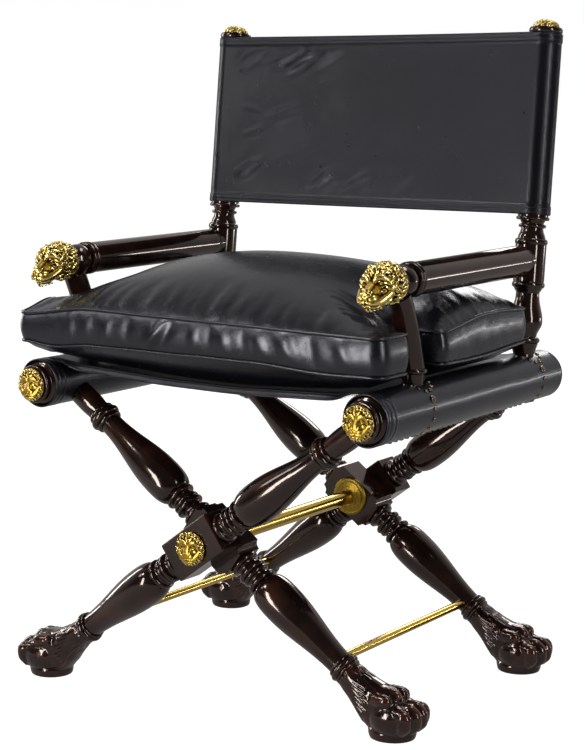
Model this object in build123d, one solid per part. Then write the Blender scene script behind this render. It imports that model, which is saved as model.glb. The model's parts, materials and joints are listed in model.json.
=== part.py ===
from build123d import *
import os
from math import asin, atan2, cos, degrees, hypot, pi, radians, sin, sqrt

# Folding X-frame armchair with a sling seat, a sling back and a loose cushion, in millimetres.
# Frame: +X to the right as seen from the front, +Y to the back, +Z up.
# The origin lies on the floor, under the middle of the chair's bounding box.
# A turning is a list of (shape, length, radius) steps along its axis; turned() explains the shapes.

# ---------------------------------------------------------------- driving sizes
rail_spacing = 560.0            # between the axes of the two seat rails
rail_axis_height = 433.0
arm_above_rail = 172.0          # from a rail's axis up to its arm's axis
pivot_height = 230.0            # axis of the cross bolt
fold_angle = 42.0               # swing of each pair of legs from open to folded
front_depth = 262.6             # from the origin to the tips of the rails' front ends
rear_depth = 247.4              # from the origin to the tips of the rails' rear ends
front_leg_setback = 29.0        # of the outer legs' axes, behind the rails' front faces
rear_leg_setback = 19.0         # in front of the rails' rear faces

running_gap = 0.05              # radial, between a pin and its eye
seat_gap = 0.3                  # between a soft or curved piece and what carries it
slide_gap = 0.6                 # beside a moving tongue, and round the saddle of a leg
joint_overlap = 1.0             # how far a turned form is grown into the next before they are joined

# legs
block_length = 94.0
block_width = 57.0
block_thickness = 44.0
block_notch = 9.0               # radius of the hollowed corners of an inner block
block_chamfer = 1.5
neck_radius = 18.0
bulge_radius = 29.0
neck_turning = [
    ("bead", 8.0, 21.5),
    ("cove", 8.0, 15.5),
    ("bead", 8.0, 21.5),
    ("bead", 7.0, 20.5),
    ("cove", 6.0, 16.5),
    ("bead", 7.0, 22.5),
    ("swell", 38.0, bulge_radius),
]
knee_waist_radius = 16.0
knee_beads = [("bead", 6.0, 20.0), ("bead", 12.0, 23.0), ("bead", 6.0, 20.0)]
knee_to_rail = 42.0             # plain head between the knee beads and the rail's leather
leg_head_radius = 17.5
leg_head_sweep = 24.0
ankle_height = 75.0             # of the leg's axis at the lower end of the ankle ring
ankle_radius = 17.5
ankle_beads = [("bead", 4.0, 20.5), ("bead", 9.0, 22.5), ("bead", 4.0, 20.5)]
tongue_thickness = 14.0
tongue_width = 22.0

# paws: x is taken forward from the ankle
paw_reach = 117.2               # to the tip of the longest toe
paw_sections = [                # (x, height, half height, half width, share of the leg's slope)
    (17.0, 62.0, 20.5, 20.5, 0.95),
    (46.2, 37.0, 31.0, 25.0, 0.45),
    (74.4, 34.8, 32.8, 29.0, 0.1),
    (83.6, 29.8, 27.8, 27.5, 0.0),
]
toe_balls = [                   # (behind the toe's tip, height, radius)
    (38.0, 57.9, 12.1),
    (11.0, 38.0, 11.0),
    (14.5, 9.5, 10.5),
]
toe_count = 4
toe_spread = 16.5
outer_toe_setback = 7.0
toe_waist = 0.96                # of the balls' radii, where the cones between them start
pad_start = 25.0
pad_half_width = 25.0
pad_thickness = 12.0
pad_taper = 12.0
paw_dowel_radius = 7.0
paw_dowel_length = 18.0
dowel_root = 4.0

# cross bolt and stretchers
bolt_radius = 11.0
journal_radius = 7.0
rosette_radius = 28.5
rosette_face = [("bead", 3.0, 29.2), ("dome", 2.0, 23.5), ("cove", 1.5, 22.5)]
rosette_boss_radius = 13.0
rosette_thickness = 9.0
bolt_cap_radius = 24.0
bolt_cap_rim = 4.0
rear_cap_turning = [("bead", 4.0, 23.0), ("dome", 7.0, 8.0)]
rear_cap_radius = 22.0
stretcher_radius = 6.0
stretcher_above_ankle = 24.0    # along the leg
stretcher_cover = 10.0          # wood left between a stretcher's end and the leg's far side

# rails
rail_radius = 33.0
leather_thickness = 1.7
rail_nose_radius = 25.0
rail_nose_turning = [
    ("bead", 5.0, 27.5),
    ("cove", 5.0, 24.5),
    ("sweep", 8.0, rail_radius - 1.0),
    ("bead", 3.0, rail_radius),
]
medallion_radius = 24.0
medallion_rim = 4.0
medallion_proud = 7.0
end_cap_edge = 1.5
end_cap_button_radius = 15.0
end_cap_lengths = (3.0, 9.0, 2.0)      # of its edge bead, its dome and its button
hinge_pin_radius = 4.0
hinge_pin_overrun = 20.0        # beyond each cheek of the tongue's slot
spigot_length = 8.0
cap_spigot_length = 4.0
spigot_radius = 3.0

# nails
nail_radius = 3.3
nail_height = 2.1
nail_row_pitch = 14.0
nail_row_angle = -82.0          # about the rail's axis, from +X
nail_ring_pitch = 14.0
junction_nail_radius = 5.5      # of the large nail where a ring meets its loop
junction_nail_height = 2.8
junction_nail_angle = 27.0
nail_loop_radius = 24.0
nail_loop_count = 8

# front posts
front_post_setback = 127.0      # behind the rails' front faces
front_post_radius = 16.5
front_post_belly = (-11.0, 94.0)        # from the foot on the rail's axis: forward in Y, up in Z
front_post_top_setback = 9.0    # behind the arm's front end
front_foot_radius = 14.0
front_foot_height = 12.0
front_ring_edge = 15.0
front_ring_radius = 19.5
front_ring_thickness = 8.0
post_tenon_radius = 9.0
post_tenon_length = 19.0

# rear posts
rear_post_setback = 57.3        # of the foot's axis, in front of the rails' rear faces
post_lean = 7.2
post_foot_radius = 15.0
post_neck_radius = 17.0
post_vase_radius = 24.0
post_foot_turning = [
    ("taper", 16.4, 20.0),
    ("step", 0.0, 18.0),
    ("bead", 9.0, 22.0),
    ("step", 0.0, post_neck_radius),
    ("sweep", 22.0, post_vase_radius),
]
post_cylinder_radius = 22.5
post_cylinder_length = 53.0
post_cylinder_below_arm = 32.4
post_ring_turning = [("step", 0.0, 21.9), ("bead", 9.0, 23.9)]
post_shoulder_turning = [("sweep", 8.0, 20.4)]
post_waist_turning = [
    ("step", 0.0, 20.0),
    ("sweep", 16.0, 16.0),
    ("bead", 5.0, 20.0),
    ("sweep", 6.0, 18.0),
    ("step", 0.0, 22.7),
    ("bead", 5.0, 24.2),
]
post_upper_radius = 22.0

# arms and lion heads
arm_radius = 22.5
arm_front_setback = 83.0        # behind the rails' front faces
arm_neck_radius = 18.0
arm_front_turning = [
    ("bead", 4.0, 20.0),
    ("bead", 26.0, 22.0),
    ("step", 0.0, 21.0),
    ("bead", 7.0, 24.0),
    ("bead", 7.0, 24.0),
    ("step", 0.0, arm_radius),
]
arm_rear_turning = [("dome", 4.0, 18.5), ("bead", 9.0, 20.0)]
arm_tenon_radius = 8.0
arm_tenon_length = 12.0
head_length = 30.0              # from the arm's front end to the middle of the skull
mane_start_radius = 22.0
mane_radius = 31.0
mane_swell = 18.0
skull_radius = 25.0
muzzle_radius = 12.5
muzzle_reach = 34.0
muzzle_drop = 9.0
nose_radius = 5.0
jaw_radius = 8.0
jaw_drop = 19.0
ear_radius = 7.0
ear_place = (21.0, -2.0, 23.0)
brow_radius = 6.0
brow_place = (10.0, -22.0, 6.0)
head_spigot_radius = 6.0

# back
sleeve_above_flange = 2.3
sleeve_length = 262.0
sleeve_radius = 25.0
back_panel_thickness = 3.4
back_panel_sag = 9.0
post_cap_height = 8.5
post_cap_radius = 24.4
post_cap_edge = 1.5
finial_radius = 19.5
finial_turning = [("bead", 3.0, 20.3), ("step", 0.0, 17.5), ("dome", 8.5, 10.0), ("dome", 4.5, 3.0)]
finial_spigot_length = 3.5

# seat sling
seat_panel_thickness = 3.0
seat_panel_sag = 25.0
seat_panel_drop = 0.5           # of its edges, below the tops of the rails
seat_panel_front_setback = 2.0  # behind the front edge of the rails' leather
seat_panel_rear_setback = 15.0  # in front of the rails' rear end

# cushion
cushion_front_setback = 18.0    # behind the tips of the rails' front ends
cushion_rear_clearance = 5.3    # in front of the swellings of the rear posts
cushion_overhang = 26.0         # outside the rails' axes
notch_before_post = 48.0
notch_behind_post = 32.0
notch_inside_post = 24.0
cushion_corner = 18.0
boxing_start = 24.0             # above the rails' leather
boxing_height = 55.0
crown = [(24.0, 21.0), (78.0, 41.0), (150.0, 61.0)]     # (inward, above the boxing)
belly_inset = 34.0
belly_lift = 3.0                # of the belly's upper edge, above the rails' leather
belly_spare = 5.0               # cut away where the cushion follows the sling
cover_thickness = 2.4

# ---------------------------------------------------------------- derived places
half_spacing = rail_spacing / 2
leg_reach = hypot(half_spacing, rail_axis_height - pivot_height)
leg_tilt = degrees(atan2(half_spacing, rail_axis_height - pivot_height))
ankle_station = (pivot_height - ankle_height) / cos(radians(leg_tilt))
ankle_x = ankle_station * sin(radians(leg_tilt))
stretcher_station = ankle_station - stretcher_above_ankle
stretcher_depth = ankle_radius - stretcher_cover
roll_radius = rail_radius + seat_gap + leather_thickness
saddle_radius = roll_radius + slide_gap
rail_top = rail_axis_height + roll_radius
rail_front_y = medallion_proud + medallion_rim - front_depth
rail_back_y = rear_depth - sum(end_cap_lengths)
outer_planes = (rail_front_y + front_leg_setback, rail_back_y - rear_leg_setback)
leg_step = block_thickness + seat_gap
inner_planes = (outer_planes[0] + leg_step, outer_planes[1] - leg_step)
front_post_y = rail_front_y + front_post_setback
rear_post_y = rail_back_y - rear_post_setback
arm_front_y = rail_front_y + arm_front_setback
tongue_eye_radius = tongue_width / 2
arm_axis_height = rail_axis_height + arm_above_rail
post_lean_slope = radians(post_lean)
post_frame = Location((half_spacing, rear_post_y, rail_axis_height), (-post_lean, 0, 0))
arm_station = arm_above_rail / cos(post_lean_slope)
arm_back_y = rear_post_y + arm_station * sin(post_lean_slope) - post_cylinder_radius - seat_gap
lion_center_y = arm_front_y - head_length
cutter_reach = 2 * roll_radius
along_y = Rot(-90, 0, 0)        # turns a turning to point along +Y
against_y = Rot(90, 0, 0)

os.makedirs("parts", exist_ok=True)


# ---------------------------------------------------------------- general shapes
def turning_length(steps):
    """Length of a turning along its axis."""
    return sum(length for _, length, _ in steps)


def turned(start_radius, steps):
    """Turning about +Z, grown up from z = 0.

    step: sudden change of radius; taper: straight; bead, cove: arc through the radius and back;
    swell: quick round growth; sweep: slow S curve; dome: round closing to the radius.
    """
    radius = start_radius
    height = 0.0
    edges = [Line((0, 0, 0), (radius, 0, 0))]
    for shape, length, target in steps:
        here = (radius, 0, height)
        there = (target, 0, height + length)
        if shape in ("bead", "cove"):
            peak = (target, 0, height + length / 2)
            edges.append(ThreePointArc(here, peak, (radius, 0, height + length)))
            target = radius
        elif shape == "swell":
            edges.append(Spline(here, there, tangents=((1, 0, 0.6), (0, 0, 1))))
        elif shape == "sweep":
            edges.append(Spline(here, there, tangents=((0, 0, 1), (0, 0, 1))))
        elif shape == "dome":
            edges.append(Spline(here, there, tangents=((0, 0, 1), (-1, 0, 0))))
        else:
            edges.append(Line(here, there))
        radius = target
        height = height + length
    edges.append(Line((radius, 0, height), (0, 0, height)))
    edges.append(Line((0, 0, height), (0, 0, 0)))
    return revolve(make_face(edges), Axis.Z)


def rod(radius, start, end):
    """Round bar from one point to another."""
    path = Line(start, end)
    plane = Plane(origin=start, z_dir=path % 0)
    return extrude(plane * Circle(radius), path.length)


def y_rod(radius, x, z, y_start, y_end):
    """Round bar along +Y."""
    return rod(radius, (x, y_start, z), (x, y_end, z))


def xz_prism(points, y_start, y_end):
    """Straight-sided prism along +Y over an outline of (x, z) points."""
    outline = make_face(Polyline(*[(x, y_start, z) for x, z in points], close=True))
    return extrude(outline, y_end - y_start, dir=(0, 1, 0))


def ball(radius, x, y, z):
    """Ball about a point."""
    return Pos(x, y, z) * Sphere(radius)


def save(name, shape):
    """Writes one sub-part to its STEP file."""
    export_step(shape, f"parts/{name}.step")


# ---------------------------------------------------------------- legs
def crossing_block(hollowed):
    """Square block that the cross bolt passes through, with hollowed or plain corners."""
    block = Box(block_width, block_thickness, block_length)
    if not hollowed:
        return chamfer(block.edges(), block_chamfer)
    half = block_thickness / 2 + seat_gap
    for side_x in (-1, 1):
        for side_z in (-1, 1):
            block -= y_rod(block_notch, side_x * block_width / 2, side_z * block_length / 2, -half, half)
    return block


def leg(hollowed):
    """One crossing leg about the cross bolt, +Z up the leg, from the ankle ring to the rail."""
    shoulder = block_length / 2
    bulge = shoulder + turning_length(neck_turning)
    upper_taper = leg_reach - roll_radius - knee_to_rail - turning_length(knee_beads) - bulge
    lower_taper = ankle_station - turning_length(ankle_beads) - bulge
    upper = neck_turning + [("sweep", upper_taper, knee_waist_radius)] + knee_beads
    upper += [
        ("sweep", leg_head_sweep, leg_head_radius),
        ("taper", knee_to_rail - leg_head_sweep + leg_head_radius, leg_head_radius),
    ]
    lower = neck_turning + [("sweep", lower_taper, ankle_radius)] + ankle_beads
    shape = crossing_block(hollowed)
    shape += Pos(0, 0, shoulder) * turned(neck_radius, upper)
    shape += Rot(180, 0, 0) * Pos(0, 0, shoulder) * turned(neck_radius, lower)
    shape -= y_rod(saddle_radius, 0, leg_reach, -bulge_radius, bulge_radius)
    half_thickness = tongue_thickness / 2
    tongue_root = leg_reach - saddle_radius - leg_head_radius
    tongue_outline = [
        (-tongue_eye_radius, tongue_root),
        (tongue_eye_radius, tongue_root),
        (tongue_eye_radius, leg_reach),
        (-tongue_eye_radius, leg_reach),
    ]
    shape += xz_prism(tongue_outline, -half_thickness, half_thickness)
    shape += y_rod(tongue_eye_radius, 0, leg_reach, -half_thickness, half_thickness)
    shape -= y_rod(hinge_pin_radius + running_gap, 0, leg_reach, -tongue_thickness, tongue_thickness)
    shape -= y_rod(journal_radius + running_gap, 0, 0, -block_thickness, block_thickness)
    dowel_top = paw_dowel_length + seat_gap - ankle_station
    return shape - rod(paw_dowel_radius + running_gap, (0, 0, -ankle_station), (0, 0, dowel_top))


def stretcher_socket(toward):
    """Blind hole for a stretcher, which comes into the leg in the direction toward along Y."""
    ends = sorted((toward * (stretcher_depth + seat_gap), -toward * bulge_radius))
    return y_rod(stretcher_radius + running_gap, 0, -stretcher_station, *ends)


def stretcher(side, planes):
    """Thin rod between the two legs of a pair, just above their ankles."""
    x = -side * stretcher_station * sin(radians(leg_tilt))
    z = pivot_height - stretcher_station * cos(radians(leg_tilt))
    return y_rod(stretcher_radius, x, z, planes[0] - stretcher_depth, planes[1] + stretcher_depth)


# ---------------------------------------------------------------- paws
def toe(y, tip_x):
    """One curled toe: knuckle, middle joint and tip, joined by cones."""
    places = [(tip_x - behind, height, radius) for behind, height, radius in toe_balls]
    x, z, radius = places[0]
    shape = ball(radius, x, y, z)
    for (x0, z0, r0), (x1, z1, r1) in zip(places, places[1:]):
        axis = Vector(x1 - x0, 0, z1 - z0)
        plane = Plane(origin=(x0, y, z0), z_dir=axis)
        cone = Cone(toe_waist * r0, toe_waist * r1, axis.length)
        shape += ball(r1, x1, y, z1) + plane * Pos(0, 0, axis.length / 2) * cone
    return shape


def paw():
    """Lion paw under a leg that comes down on the +X side, about the leg's own XZ plane."""
    leg_way = Vector(sin(radians(leg_tilt)), 0, -cos(radians(leg_tilt)))
    ankle = Vector(ankle_x, 0, ankle_height)
    sections = [(0.0, ankle_height, ankle_radius, ankle_radius, 1.0)] + paw_sections
    faces = []
    for forward, height, half_height, half_width, slope_share in sections:
        slope = radians(slope_share * (90.0 - leg_tilt))
        way = Vector(cos(slope), 0, -sin(slope))
        plane = Plane(origin=(ankle_x + forward, 0, height), x_dir=(0, 1, 0), z_dir=way)
        faces.append(plane * Ellipse(half_width, half_height))
    shape = loft(faces)
    toe_tip_x = ankle_x + paw_reach
    pad_end_x = toe_tip_x - toe_balls[-1][0]
    pad_start_x = ankle_x + pad_start
    pad = Pos((pad_start_x + pad_end_x) / 2, 0, 0) * SlotOverall(pad_end_x - pad_start_x, 2 * pad_half_width)
    shape += extrude(pad, pad_thickness, taper=pad_taper)
    for index in range(toe_count):
        place = index - (toe_count - 1) / 2
        outermost = index in (0, toe_count - 1)
        shape += toe(place * toe_spread, toe_tip_x - (outer_toe_setback if outermost else 0.0))
    below_floor = Box(2 * paw_reach, paw_reach, paw_reach, align=(Align.CENTER, Align.CENTER, Align.MAX))
    shape -= Pos(toe_tip_x, 0, 0) * below_floor
    return shape + rod(paw_dowel_radius, ankle + leg_way * dowel_root, ankle - leg_way * paw_dowel_length)


# ---------------------------------------------------------------- castings
def mask_medallion(radius, rim, stem_radius, stem_length):
    """Round gilt casting that faces -Y: a rim, a low dome and a lion mask; its back lies on y = 0."""
    edge = 1.0
    face_radius = 0.62 * radius
    plate = [("taper", edge, radius), ("dome", rim - edge, radius - 3.0)]
    dome = [("step", 0.0, radius - 3.5), ("dome", 0.6 * medallion_proud, face_radius)]
    shape = against_y * turned(radius - edge, plate + dome)
    muzzle_ball = 0.32 * radius
    tip_y = -rim - medallion_proud
    shape += ball(muzzle_ball, 0, tip_y + muzzle_ball, -0.22 * radius)
    for side in (-1, 1):
        shape += ball(0.22 * radius, side * 0.42 * radius, tip_y + 0.6 * muzzle_ball, 0.4 * radius)
        shape += ball(0.26 * radius, side * 0.24 * radius, tip_y + 0.7 * muzzle_ball, 0.08 * radius)
    shape -= Box(3 * radius, radius, 3 * radius, align=(Align.CENTER, Align.MIN, Align.CENTER))
    return shape + y_rod(stem_radius, 0, 0, -edge, stem_length)


def lion_head(post_relief):
    """Gilt lion head that faces -Y in front of an arm, hollowed behind its chin for the front post."""
    mane = [
        ("swell", mane_swell, mane_radius),
        ("dome", head_length + skull_radius - mane_swell, muzzle_radius),
    ]
    shape = Pos(0, head_length, 0) * against_y * turned(mane_start_radius, mane)
    nose_y = muzzle_radius - muzzle_reach
    shape += y_rod(muzzle_radius, 0, -muzzle_drop, nose_y, 0)
    shape += ball(muzzle_radius, 0, nose_y, -muzzle_drop)
    shape += ball(nose_radius, 0, nose_y - muzzle_radius + nose_radius, nose_radius - muzzle_drop)
    shape += ball(jaw_radius, 0, nose_y, -jaw_drop)
    for side in (-1, 1):
        shape += ball(ear_radius, side * ear_place[0], ear_place[1], ear_place[2])
        shape += ball(brow_radius, side * brow_place[0], brow_place[1], brow_place[2])
    shape += y_rod(head_spigot_radius, 0, 0, 0, head_length + spigot_length)
    return Pos(half_spacing, lion_center_y, arm_axis_height) * shape - post_relief


# ---------------------------------------------------------------- rails, on the +X side
def fold_slot(plane_y, clearance):
    """Space that a leg's tongue sweeps inside the rail while the chair folds."""
    half_width = tongue_width / 2 + clearance
    y_low = plane_y - tongue_thickness / 2 - clearance
    y_high = plane_y + tongue_thickness / 2 + clearance
    slot = y_rod(half_width, half_spacing, rail_axis_height, y_low, y_high)
    tips = []
    for swing in (0.0, fold_angle):
        heading = radians(270.0 - leg_tilt + swing)
        tip_x = half_spacing + cutter_reach * cos(heading)
        tip_z = rail_axis_height + cutter_reach * sin(heading)
        side_x = -half_width * sin(heading)
        side_z = half_width * cos(heading)
        arm_outline = [
            (half_spacing + side_x, rail_axis_height + side_z),
            (tip_x + side_x, tip_z + side_z),
            (tip_x - side_x, tip_z - side_z),
            (half_spacing - side_x, rail_axis_height - side_z),
        ]
        slot += xz_prism(arm_outline, y_low, y_high)
        tips.append((tip_x, tip_z))
    return slot + xz_prism([(half_spacing, rail_axis_height), *tips], y_low, y_high)


def post_socket(y, lean, radius, depth):
    """Hole from the top of the rail for a post that leans back by lean degrees."""
    place = Location((half_spacing, y, rail_axis_height), (-lean, 0, 0))
    return place * rod(radius, (0, 0, rail_radius - depth), (0, 0, rail_radius + depth))


def pin_ends(leg_planes):
    """Inner ends of a rail's front and rear hinge pins."""
    reach = tongue_thickness / 2 + hinge_pin_overrun
    return leg_planes[0] + reach, leg_planes[1] - reach


def rail(leg_planes):
    """Turned rail: moulded nose, round core under the leather, slots, pin bores and post sockets."""
    nose_length = turning_length(rail_nose_turning)
    core = [("step", 0.0, rail_radius), ("taper", rail_back_y - rail_front_y - nose_length, rail_radius)]
    shape = along_y * turned(rail_nose_radius, rail_nose_turning + core)
    shape = Pos(half_spacing, rail_front_y, rail_axis_height) * shape
    bore = hinge_pin_radius + running_gap
    front_end, rear_end = pin_ends(leg_planes)
    shape -= y_rod(bore, half_spacing, rail_axis_height, rail_front_y, front_end + seat_gap)
    shape -= y_rod(bore, half_spacing, rail_axis_height, rear_end - seat_gap, rail_back_y)
    for plane_y in leg_planes:
        shape -= fold_slot(plane_y, slide_gap)
    for y, lean in ((front_post_y, 0.0), (rear_post_y, post_lean)):
        shape -= post_socket(y, lean, post_tenon_radius + running_gap, post_tenon_length + seat_gap)
    return shape


def hinge_pins(leg_planes):
    """The two steel pins that the legs turn on, pushed in from the rail's ends."""
    front_end, rear_end = pin_ends(leg_planes)
    front_start = rail_front_y + spigot_length + seat_gap
    rear_start = rail_back_y - cap_spigot_length - seat_gap
    front = y_rod(hinge_pin_radius, half_spacing, rail_axis_height, front_start, front_end)
    rear = y_rod(hinge_pin_radius, half_spacing, rail_axis_height, rear_end, rear_start)
    return Compound(children=[front, rear])


def post_holes():
    """Clearance holes in the leather round the feet of the two posts."""
    front = post_socket(front_post_y, 0.0, front_foot_radius + slide_gap, post_tenon_length)
    return front + post_socket(rear_post_y, post_lean, post_foot_radius + slide_gap, post_tenon_length)


def rail_leather(leg_planes):
    """Leather of the seat sling where it is wrapped round the rail."""
    front_y = rail_front_y + turning_length(rail_nose_turning)
    shape = y_rod(roll_radius, half_spacing, rail_axis_height, front_y, rail_back_y)
    shape -= y_rod(rail_radius + seat_gap, half_spacing, rail_axis_height, front_y, rail_back_y)
    for plane_y in leg_planes:
        shape -= fold_slot(plane_y, 2 * slide_gap)
    return shape - post_holes()


def end_cap():
    """Domed cap that closes the rear end of a rail, with its spigot in the pin's bore."""
    edge_length, dome_length, button_length = end_cap_lengths
    steps = [
        ("bead", edge_length, roll_radius),
        ("dome", dome_length, end_cap_button_radius),
        ("dome", button_length, end_cap_button_radius / 2),
    ]
    shape = along_y * turned(roll_radius - end_cap_edge, steps)
    shape += y_rod(hinge_pin_radius, 0, 0, -cap_spigot_length, joint_overlap)
    return Pos(half_spacing, rail_back_y, rail_axis_height) * shape


def nail_at(angle, y, radius=nail_radius, height=nail_height):
    """Round nail head on the rolled leather, at an angle from +X about the rail's axis."""
    head = turned(radius, [("dome", height, radius / 3)])
    seat = Pos(0, 0, roll_radius + running_gap)
    return Pos(half_spacing, y, rail_axis_height) * Rot(0, 90.0 - angle, 0) * seat * head


def rail_nails(leg_planes):
    """Nails of one rail: the row under it, and a ring, a large nail and a loop at each post."""
    row_start = rail_front_y + turning_length(rail_nose_turning) + nail_row_pitch
    row_count = int((rail_back_y - row_start) / nail_row_pitch)
    keep_off = tongue_thickness / 2 + nail_row_pitch
    rear_foot_y = rear_post_y + roll_radius * sin(post_lean_slope)
    foot_ys = (front_post_y, rear_foot_y)
    low_places = [(nail_row_angle, row_start + nail_row_pitch * index) for index in range(row_count)]
    beside_ring = nail_ring_pitch / 2
    low_places = [place for place in low_places if min(abs(place[1] - y) for y in foot_ys) > beside_ring]
    low_places += [(nail_row_angle, foot_y) for foot_y in foot_ys]
    ring_step = degrees(nail_ring_pitch / roll_radius)
    ring_count = int((junction_nail_angle - nail_row_angle) / ring_step)
    places = []
    for foot_y in foot_ys:
        low_places.append((junction_nail_angle - ring_step * ring_count, foot_y))
        places += [(junction_nail_angle - ring_step * index, foot_y) for index in range(1, ring_count)]
        for index in range(nail_loop_count):
            turn = pi * (index / (nail_loop_count - 1) - 0.5)
            angle = 90.0 - degrees(asin(nail_loop_radius * cos(turn) / roll_radius))
            places.append((angle, foot_y + nail_loop_radius * sin(turn)))
    for angle, y in low_places:
        if min(abs(y - plane_y) for plane_y in leg_planes) > keep_off:
            places.append((angle, y))
    nails = [nail_at(angle, y) for angle, y in places]
    for foot_y in foot_ys:
        nails.append(nail_at(junction_nail_angle, foot_y, junction_nail_radius, junction_nail_height))
    return Compound(children=nails)


# ---------------------------------------------------------------- posts and arms, on the +X side
def rail_cutter(y):
    """Core of the rail with the gap that a post's foot keeps from it."""
    radius = rail_radius + seat_gap
    return y_rod(radius, half_spacing, rail_axis_height, y - cutter_reach, y + cutter_reach)


def front_post_path():
    """Bent axis of the front post, from its ring up to the underside of the arm."""
    start_z = rail_top + front_foot_height + front_ring_thickness / 2
    top_z = arm_axis_height - sqrt(arm_radius**2 - front_post_radius**2 / 2)
    forward, up = front_post_belly
    return ThreePointArc(
        (half_spacing, front_post_y, start_z),
        (half_spacing, front_post_y + forward, rail_axis_height + up),
        (half_spacing, arm_front_y + front_post_top_setback, top_z),
    )


def front_post():
    """Curved arm support: tapered foot, ring, bent shaft, and a tenon at each end."""
    path = front_post_path()
    foot_low = rail_axis_height + rail_radius / 2
    foot = [
        ("taper", rail_top - foot_low, front_foot_radius),
        ("taper", front_foot_height, front_ring_edge),
        ("bead", front_ring_thickness, front_ring_radius),
    ]
    shape = Pos(half_spacing, front_post_y, foot_low) * turned(front_foot_radius, foot)
    shape += sweep(Plane(origin=path @ 0, z_dir=path % 0) * Circle(front_post_radius), path=path)
    arm_ends = (arm_front_y - cutter_reach, arm_front_y + cutter_reach)
    shape -= y_rod(arm_radius + seat_gap, half_spacing, arm_axis_height, *arm_ends)
    shape -= rail_cutter(front_post_y)
    tenon_bottom = rail_axis_height + rail_radius - post_tenon_length
    shape += rod(post_tenon_radius, (half_spacing, front_post_y, tenon_bottom), path @ 0)
    return shape + front_post_tenon(arm_tenon_radius, 0.0)


def front_post_tenon(radius, extra):
    """Tenon of the front post in the arm, or the hole for it."""
    path = front_post_path()
    root = path @ 1 - path % 1 * arm_tenon_radius
    return rod(radius, root, path @ 1 + path % 1 * (arm_tenon_length + extra))


def front_post_relief():
    """Space that the top of the front post takes behind the lion's chin."""
    path = front_post_path()
    half = path % 1 * cutter_reach
    return rod(front_post_radius + seat_gap, path @ 1 - half, path @ 1 + half)


def rear_post_steps():
    """Turning of the rear post from the leather to its top, and the height of its flange's top."""
    start = roll_radius + 2 * seat_gap
    lower = post_foot_turning + post_shoulder_turning + post_ring_turning
    vase_fall = arm_station - post_cylinder_below_arm - start - turning_length(lower)
    steps = post_foot_turning + [("sweep", vase_fall, post_neck_radius)]
    steps += post_shoulder_turning + post_ring_turning
    steps += [("step", 0.0, post_cylinder_radius), ("taper", post_cylinder_length, post_cylinder_radius)]
    steps += post_ring_turning + post_waist_turning + [("step", 0.0, post_upper_radius)]
    return steps, start + turning_length(steps)


lower_post_steps, flange_top = rear_post_steps()
sleeve_bottom = flange_top + sleeve_above_flange
post_top = sleeve_bottom + sleeve_length


def arm_tenon(radius, extra):
    """Tenon of the arm in the rear post, or the hole for it."""
    end_y = arm_back_y + arm_tenon_length + extra
    return y_rod(radius, half_spacing, arm_axis_height, arm_back_y - extra, end_y)


def rear_post():
    """Turned rear post, leaning back from the rail."""
    foot_low = rail_radius / 2
    steps = [("taper", flange_top - turning_length(lower_post_steps) - foot_low, post_foot_radius)]
    steps += lower_post_steps + [("taper", post_top - flange_top, post_upper_radius)]
    shape = Pos(0, 0, foot_low) * turned(post_foot_radius, steps)
    shape -= rod(spigot_radius + running_gap, (0, 0, post_top - spigot_length - seat_gap), (0, 0, post_top))
    shape = post_frame * shape - rail_cutter(rear_post_y)
    shape -= arm_tenon(arm_tenon_radius + running_gap, seat_gap)
    tenon = rod(post_tenon_radius, (0, 0, rail_radius - post_tenon_length), (0, 0, roll_radius))
    return shape + post_frame * tenon


def arm():
    """Turned arm along +Y from behind the lion head to the rear post."""
    made = turning_length(arm_front_turning) + turning_length(arm_rear_turning)
    middle = [("taper", arm_back_y - arm_front_y - made, arm_radius)]
    steps = arm_front_turning + middle + arm_rear_turning
    shape = Pos(half_spacing, arm_front_y, arm_axis_height) * along_y * turned(arm_neck_radius, steps)
    seat_end = arm_back_y + post_cylinder_radius / 3
    shape += y_rod(arm_neck_radius, half_spacing, arm_axis_height, arm_back_y - joint_overlap, seat_end)
    shape -= post_frame * Cylinder(post_cylinder_radius + seat_gap, 2 * sleeve_length)
    shape += arm_tenon(arm_tenon_radius, 0.0)
    bore = head_spigot_radius + running_gap
    shape -= y_rod(bore, half_spacing, arm_axis_height, arm_front_y, arm_front_y + spigot_length + seat_gap)
    return shape - front_post_tenon(arm_tenon_radius + running_gap, seat_gap)


def post_cap():
    """Black turned cap on the rear post, above the leather."""
    shape = turned(post_cap_radius - post_cap_edge, [("bead", post_cap_height, post_cap_radius)])
    shape += rod(spigot_radius, (0, 0, -spigot_length), (0, 0, joint_overlap))
    bore_bottom = post_cap_height - finial_spigot_length - seat_gap
    shape -= rod(spigot_radius + running_gap, (0, 0, bore_bottom), (0, 0, post_cap_height))
    return post_frame * Pos(0, 0, post_top) * shape


def finial():
    """Gilt button finial on top of the post cap."""
    shape = turned(finial_radius, finial_turning)
    shape += rod(spigot_radius, (0, 0, -finial_spigot_length), (0, 0, joint_overlap))
    return post_frame * Pos(0, 0, post_top + post_cap_height) * shape


# ---------------------------------------------------------------- leather
def back_sleeve():
    """Loop of the back sling round one rear post."""
    shape = rod(sleeve_radius, (0, 0, sleeve_bottom), (0, 0, post_top))
    shape -= rod(post_upper_radius + seat_gap, (0, 0, sleeve_bottom), (0, 0, post_top))
    return post_frame * shape


def sagging_sheet(half_width, level, thickness, sag):
    """Closed outline in X and Y of a sheet that hangs between its two edges."""
    far = level + thickness
    return [
        ThreePointArc((-half_width, level, 0), (0, level + sag, 0), (half_width, level, 0)),
        Line((half_width, level, 0), (half_width, far, 0)),
        ThreePointArc((half_width, far, 0), (0, far + sag, 0), (-half_width, far, 0)),
        Line((-half_width, far, 0), (-half_width, level, 0)),
    ]


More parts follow.
